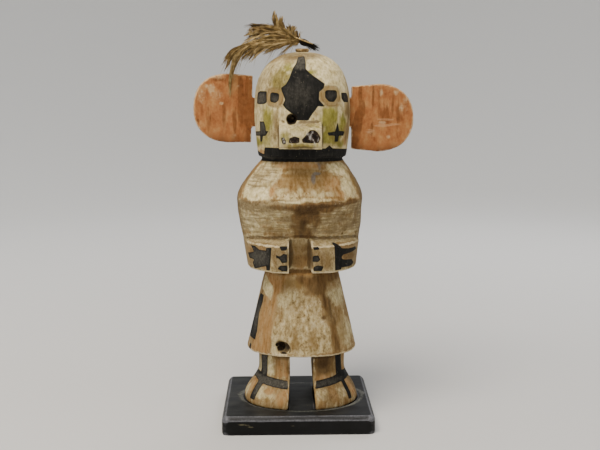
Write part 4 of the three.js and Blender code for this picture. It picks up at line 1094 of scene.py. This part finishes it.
# Each feather's shaft is drawn through points right and up from the crown's middle, in shares of its reach.
# It lies a depth in front of the middle, spreads to a width and narrows by a taper towards its tip. It has
# so many locks of barbs, which gather nearer its root where gather is over 1, and they droop under their own
# weight. A dark feather is more in shade, and a pale one more bleached.
FEATHERS = {
    "tall_upright_feather": dict(
        reach=39.5, forward=1.0, width=10, taper=0.75, locks=34, gather=1.5, droop=0.0, dark=0.2, pale=0.25,
        line=[(-0.304, 0.291), (-0.494, 0.405), (-0.55, 0.595), (-0.552, 0.815)],
    ),
    "stub_feather": dict(
        reach=22, forward=-1.0, width=11, taper=0.4, locks=34, gather=1.2, droop=0.0, dark=0.0, pale=0.75,
        line=[(-0.364, 0.614), (-0.391, 0.795), (-0.327, 0.945)],
    ),
    "short_upright_feather": dict(
        reach=34.5, forward=-3.0, width=12, taper=0.75, locks=36, gather=1.4, droop=0.0, dark=0.1, pale=0.15,
        line=[(-0.275, 0.362), (-0.429, 0.507), (-0.49, 0.667), (-0.502, 0.84)],
    ),
    "upper_back_feather": dict(
        reach=46.5, forward=-5.0, width=7, taper=0.4, locks=20, gather=0.9, droop=0.2, dark=0.8, pale=-0.1,
        line=[(-0.215, 0.269), (-0.452, 0.376), (-0.697, 0.441), (-0.955, 0.42)],
    ),
    "low_hanging_feather": dict(
        reach=45.5, forward=-7.0, width=10, taper=0.5, locks=36, gather=1.3, droop=0.3, dark=0.5, pale=0.0,
        line=[(-0.242, 0.189), (-0.549, 0.178), (-0.813, 0.068), (-0.939, -0.116)],
    ),
    "middle_feather": dict(
        reach=47, forward=3.0, width=12, taper=0.4, locks=42, gather=1.4, droop=0.4, dark=0.3, pale=0.2,
        line=[(-0.234, 0.255), (-0.447, 0.319), (-0.712, 0.34), (-0.99, 0.253)],
    ),
    "long_drooping_feather": dict(
        reach=66, forward=5.0, width=12, taper=1.0, locks=48, gather=2.2, droop=1.6, dark=0.1, pale=0.4,
        line=[
            (-0.182, 0.152), (-0.409, 0.159), (-0.636, 0.083),
            (-0.795, -0.068), (-0.871, -0.258), (-0.894, -0.455),
        ],
    ),
    "left_tip_feather": dict(
        reach=61.5, forward=7.0, width=11, taper=0.2, locks=48, gather=0.75, droop=2.4, dark=0.15, pale=0.4,
        line=[(-0.179, 0.13), (-0.439, 0.114), (-0.699, 0.075), (-0.888, 0.004), (-0.985, -0.116)],
    ),
}
QUILL_SHOWS = "long_drooping_feather"
HAIRS_IN_A_LOCK = 11
HAIR_POINTS = 8
LOCK_RADIUS = 0.7
STRAY_HAIRS = 60


def smooth_path(points, steps):
    """Evenly spaced places along a smooth curve through some points."""
    points = np.array([tuple(p) for p in points])
    ends = np.vstack([2 * points[0] - points[1], points, 2 * points[-1] - points[-2]])
    dense = []
    for i in range(1, len(ends) - 2):
        a, b, c, d = ends[i - 1 : i + 3]
        for t in np.linspace(0, 1, 24, endpoint=False):
            straight = 2 * b + (c - a) * t
            bent = (2 * a - 5 * b + 4 * c - d) * t**2 + (3 * b - a - 3 * c + d) * t**3
            dense.append(0.5 * (straight + bent))
    dense.append(points[-1])
    dense = np.array(dense)
    length = np.concatenate([[0], np.cumsum(np.linalg.norm(np.diff(dense, axis=0), axis=1))])
    wanted = np.linspace(0, length[-1], steps)
    return [Vector([np.interp(w, length, dense[:, k]) for k in range(3)]) for w in wanted]


def along_shaft(shaft, share):
    """The place at a share of the shaft's length, and its direction there; past the tip it runs straight
    on."""
    at = share * (len(shaft) - 1)
    k = min(max(int(at), 0), len(shaft) - 2)
    ahead = shaft[k + 1] - shaft[k]
    return shaft[k] + ahead * (at - k), ahead.normalized()


def lay_hair(bundle, feather, shaft, lie, thick, shade, pale):
    """One hair of a feather. Its lie says where along the shaft it starts and ends, how far it leans to a
    side, its depth, sag and curl, and how far it is from the middle of its lock."""
    start, end, lean, depth, sag, curl, aside, forward = lie
    top = cad_box[1].z / MM - 0.1
    points = []
    for j in range(HAIR_POINTS):
        t = j / (HAIR_POINTS - 1)
        share = start + (end - start) * t
        place, ahead = along_shaft(shaft, share)
        out = ahead.cross(FORWARD).normalized()
        fullness = min(1, share * 3.6) * (1 - feather["taper"] * max(0, share - 0.4) / 0.6)
        spread = feather["width"] * 0.5 * max(0.12, fullness) * (0.2 + 0.8 * t)
        # A lock is widest past its root, and its hairs meet again in a point.
        loose = LOCK_RADIUS * math.sin(math.pi * (0.15 + 0.78 * t)) * min(1, max(0.4, 1.6 * fullness))
        bend = 0.5 * math.sin(curl + 4.5 * t) * t
        place = place + out * (lean * spread + aside * loose + bend)
        place = place + FORWARD * (0.6 * depth * spread + forward * loose)
        place.z = min(place.z - 2.4 * sag * t**2, top)
        points.append(place)
    radii = [thick * (0.7 + 0.5 * math.sin(math.pi * j / HAIR_POINTS)) for j in range(HAIR_POINTS)]
    radii[-1] = 0.03
    radii[-2] *= 0.6
    bundle.strand(points, radii, 3, shade, pale)


def make_feather(name, feather, rng, materials):
    """A matted feather: a thin shaft, and locks of downy barbs that run along it, spread, sag and end in
    points, with a few stray hairs."""
    crown = crown_place()
    mouth = binding_mouth()
    line = [(right * feather["reach"], up * feather["reach"]) for right, up in feather["line"]]
    places = [mouth + BINDING_ALONG * 5, mouth + BINDING_ALONG, mouth - BINDING_ALONG]
    places += [crown + Vector((right, -feather["forward"], up)) for right, up in line]
    steps = 60
    shaft = smooth_path(places, steps)
    bundle = Bundle()
    bundle.strand(shaft, [0.4 * (1 - 0.8 * i / (steps - 1)) for i in range(steps)], 5, material=1)
    for lock in range(feather["locks"]):
        along = (lock + rng.uniform(0, 1)) / feather["locks"]
        start = 0.05 + 0.78 * along ** feather["gather"]
        end = min(start + rng.uniform(0.2, 0.42), rng.uniform(0.93, 1.05))
        lean = (1 if lock % 2 else -1) * rng.uniform(0.05, 1.15)
        depth = rng.normal(0, 0.5)
        sag = feather["droop"] * min(1.6, max(0, rng.normal(1, 0.8)))
        curl = rng.uniform(0, 2 * math.pi)
        shade = feather["dark"] + rng.normal(0, 0.36)
        pale = feather["pale"] + rng.normal(0, 0.42)
        for _ in range(HAIRS_IN_A_LOCK):
            aside, forward, late = rng.normal(0, 0.6), rng.normal(0, 0.6), rng.uniform(0, 0.05)
            lie = (start + late, end - late, lean, depth, sag, curl + rng.normal(0, 0.3), aside, forward)
            thick = rng.uniform(0.13, 0.25)
            lay_hair(bundle, feather, shaft, lie, thick, shade + rng.normal(0, 0.15),
                pale + rng.normal(0, 0.15))
    for _ in range(STRAY_HAIRS):
        start = rng.uniform(0.08, 0.8)
        lean, sag = rng.uniform(-1.5, 1.5), feather["droop"] * rng.uniform(0, 2.6)
        end = min(start + rng.uniform(0.12, 0.34), 1.06)
        lie = (start, end, lean, rng.normal(0, 1.2), sag, rng.uniform(0, 6), 0, 0)
        lay_hair(bundle, feather, shaft, lie, 0.13, feather["dark"] + rng.normal(0.1, 0.3), feather["pale"])
    if name == QUILL_SHOWS:
        beside = FORWARD * (BINDING_RADIUS + 0.3) + BINDING_UP * 1.2
        quill = [mouth + BINDING_ALONG * along + beside for along in (-2, 3, 8, 12.5)]
        bundle.strand(quill, [0.4, 0.6, 0.6, 0.4], 8, material=1)
    return finished(bundle.piece(name + "_vane"), materials, name)


def make_plume():
    rng = np.random.default_rng(7)
    make_cord_ring(rng)
    make_binding(rng)
    materials = [dry_feather(), bare_quill()]
    for name, feather in FEATHERS.items():
        make_feather(name, feather, rng, materials)


# The stage


def lamp(name, place, size, power, colour, aim):
    """A soft square lamp, aimed at a place."""
    light = bpy.data.lights.new(name, "AREA")
    light.shape = "SQUARE"
    light.size = size
    light.energy = power
    light.color = linear(colour)[:3]
    made = bpy.data.objects.new(name, light)
    bpy.context.scene.collection.objects.link(made)
    made.location = place
    made.rotation_mode = "QUATERNION"
    made.rotation_quaternion = (Vector(aim) - Vector(place)).to_track_quat("-Z", "Y")


FLOOR_FLAT_RADIUS = 1.3
BACKDROP_RADIUS = 2.2


def make_floor():
    """A pale round floor that sweeps up all round into a backdrop."""
    sides = 96
    bends = 20
    profile = [(FLOOR_FLAT_RADIUS * share, 0.0) for share in (0.5, 1.0)]
    for i in range(1, bends + 1):
        angle = math.radians(80) * i / bends
        out = FLOOR_FLAT_RADIUS + BACKDROP_RADIUS * math.sin(angle)
        profile.append((out, BACKDROP_RADIUS * (1 - math.cos(angle))))
    corners = [(0.0, 0.0, 0.0)]
    for out, up in profile:
        for k in range(sides):
            turn = 2 * math.pi * k / sides
            corners.append((out * math.cos(turn), out * math.sin(turn), up))
    faces = [(0, 1 + k, 1 + (k + 1) % sides) for k in range(sides)]
    for ring in range(len(profile) - 1):
        inner = 1 + ring * sides
        outer = inner + sides
        for k in range(sides):
            turn = (k + 1) % sides
            faces.append((inner + k, outer + k, outer + turn, inner + turn))
    mesh = bpy.data.meshes.new("floor")
    mesh.from_pydata(corners, [], faces)
    mesh.polygons.foreach_set("use_smooth", [True] * len(mesh.polygons))
    mesh.materials.append(pale_floor())
    floor = bpy.data.objects.new("floor", mesh)
    bpy.context.scene.collection.objects.link(floor)


def make_stage():
    """The pale floor, soft lamps and the camera at the photograph's angle."""
    make_floor()
    world = bpy.data.worlds.new("studio")
    bpy.context.scene.world = world
    world.use_nodes = True
    background = world.node_tree.nodes["Background"]
    background.inputs["Color"].default_value = linear("#e4e6ea")
    background.inputs["Strength"].default_value = 0.24

    middle = (0, 0, 0.2)
    lamp("overhead", (-0.3, -0.45, 1.15), 0.6, 16.5, "#fff5e8", middle)
    lamp("front", (0.1, -1.3, 0.7), 0.8, 3.5, "#fff8f0", middle)
    lamp("back", (0.5, 0.8, 0.9), 0.6, 4, "#f2f5ff", middle)
    # These light the sweep all round, and none of it falls on the doll.
    for name, x, y in (("far", 0, 1), ("right", 1, 0), ("near", 0, -1), ("left", -1, 0)):
        lamp(name + "_backdrop", (0.7 * x, 0.7 * y, 1.7), 1.2, 29, "#ffffff", (2.9 * x, 2.9 * y, 0.7))

    camera = bpy.data.cameras.new("camera")
    camera.lens = CAMERA_LENS
    camera.sensor_width = 36
    camera.clip_start = 0.01
    held = bpy.data.objects.new("camera", camera)
    bpy.context.scene.collection.objects.link(held)
    held.location = Vector(CAMERA_PLACE) * MM
    held.rotation_euler = (math.radians(90 - CAMERA_TILT), 0, math.radians(CAMERA_TURN))
    bpy.context.scene.camera = held


make_stage()
make_figure()
make_ears()
make_plinth()
make_plume()
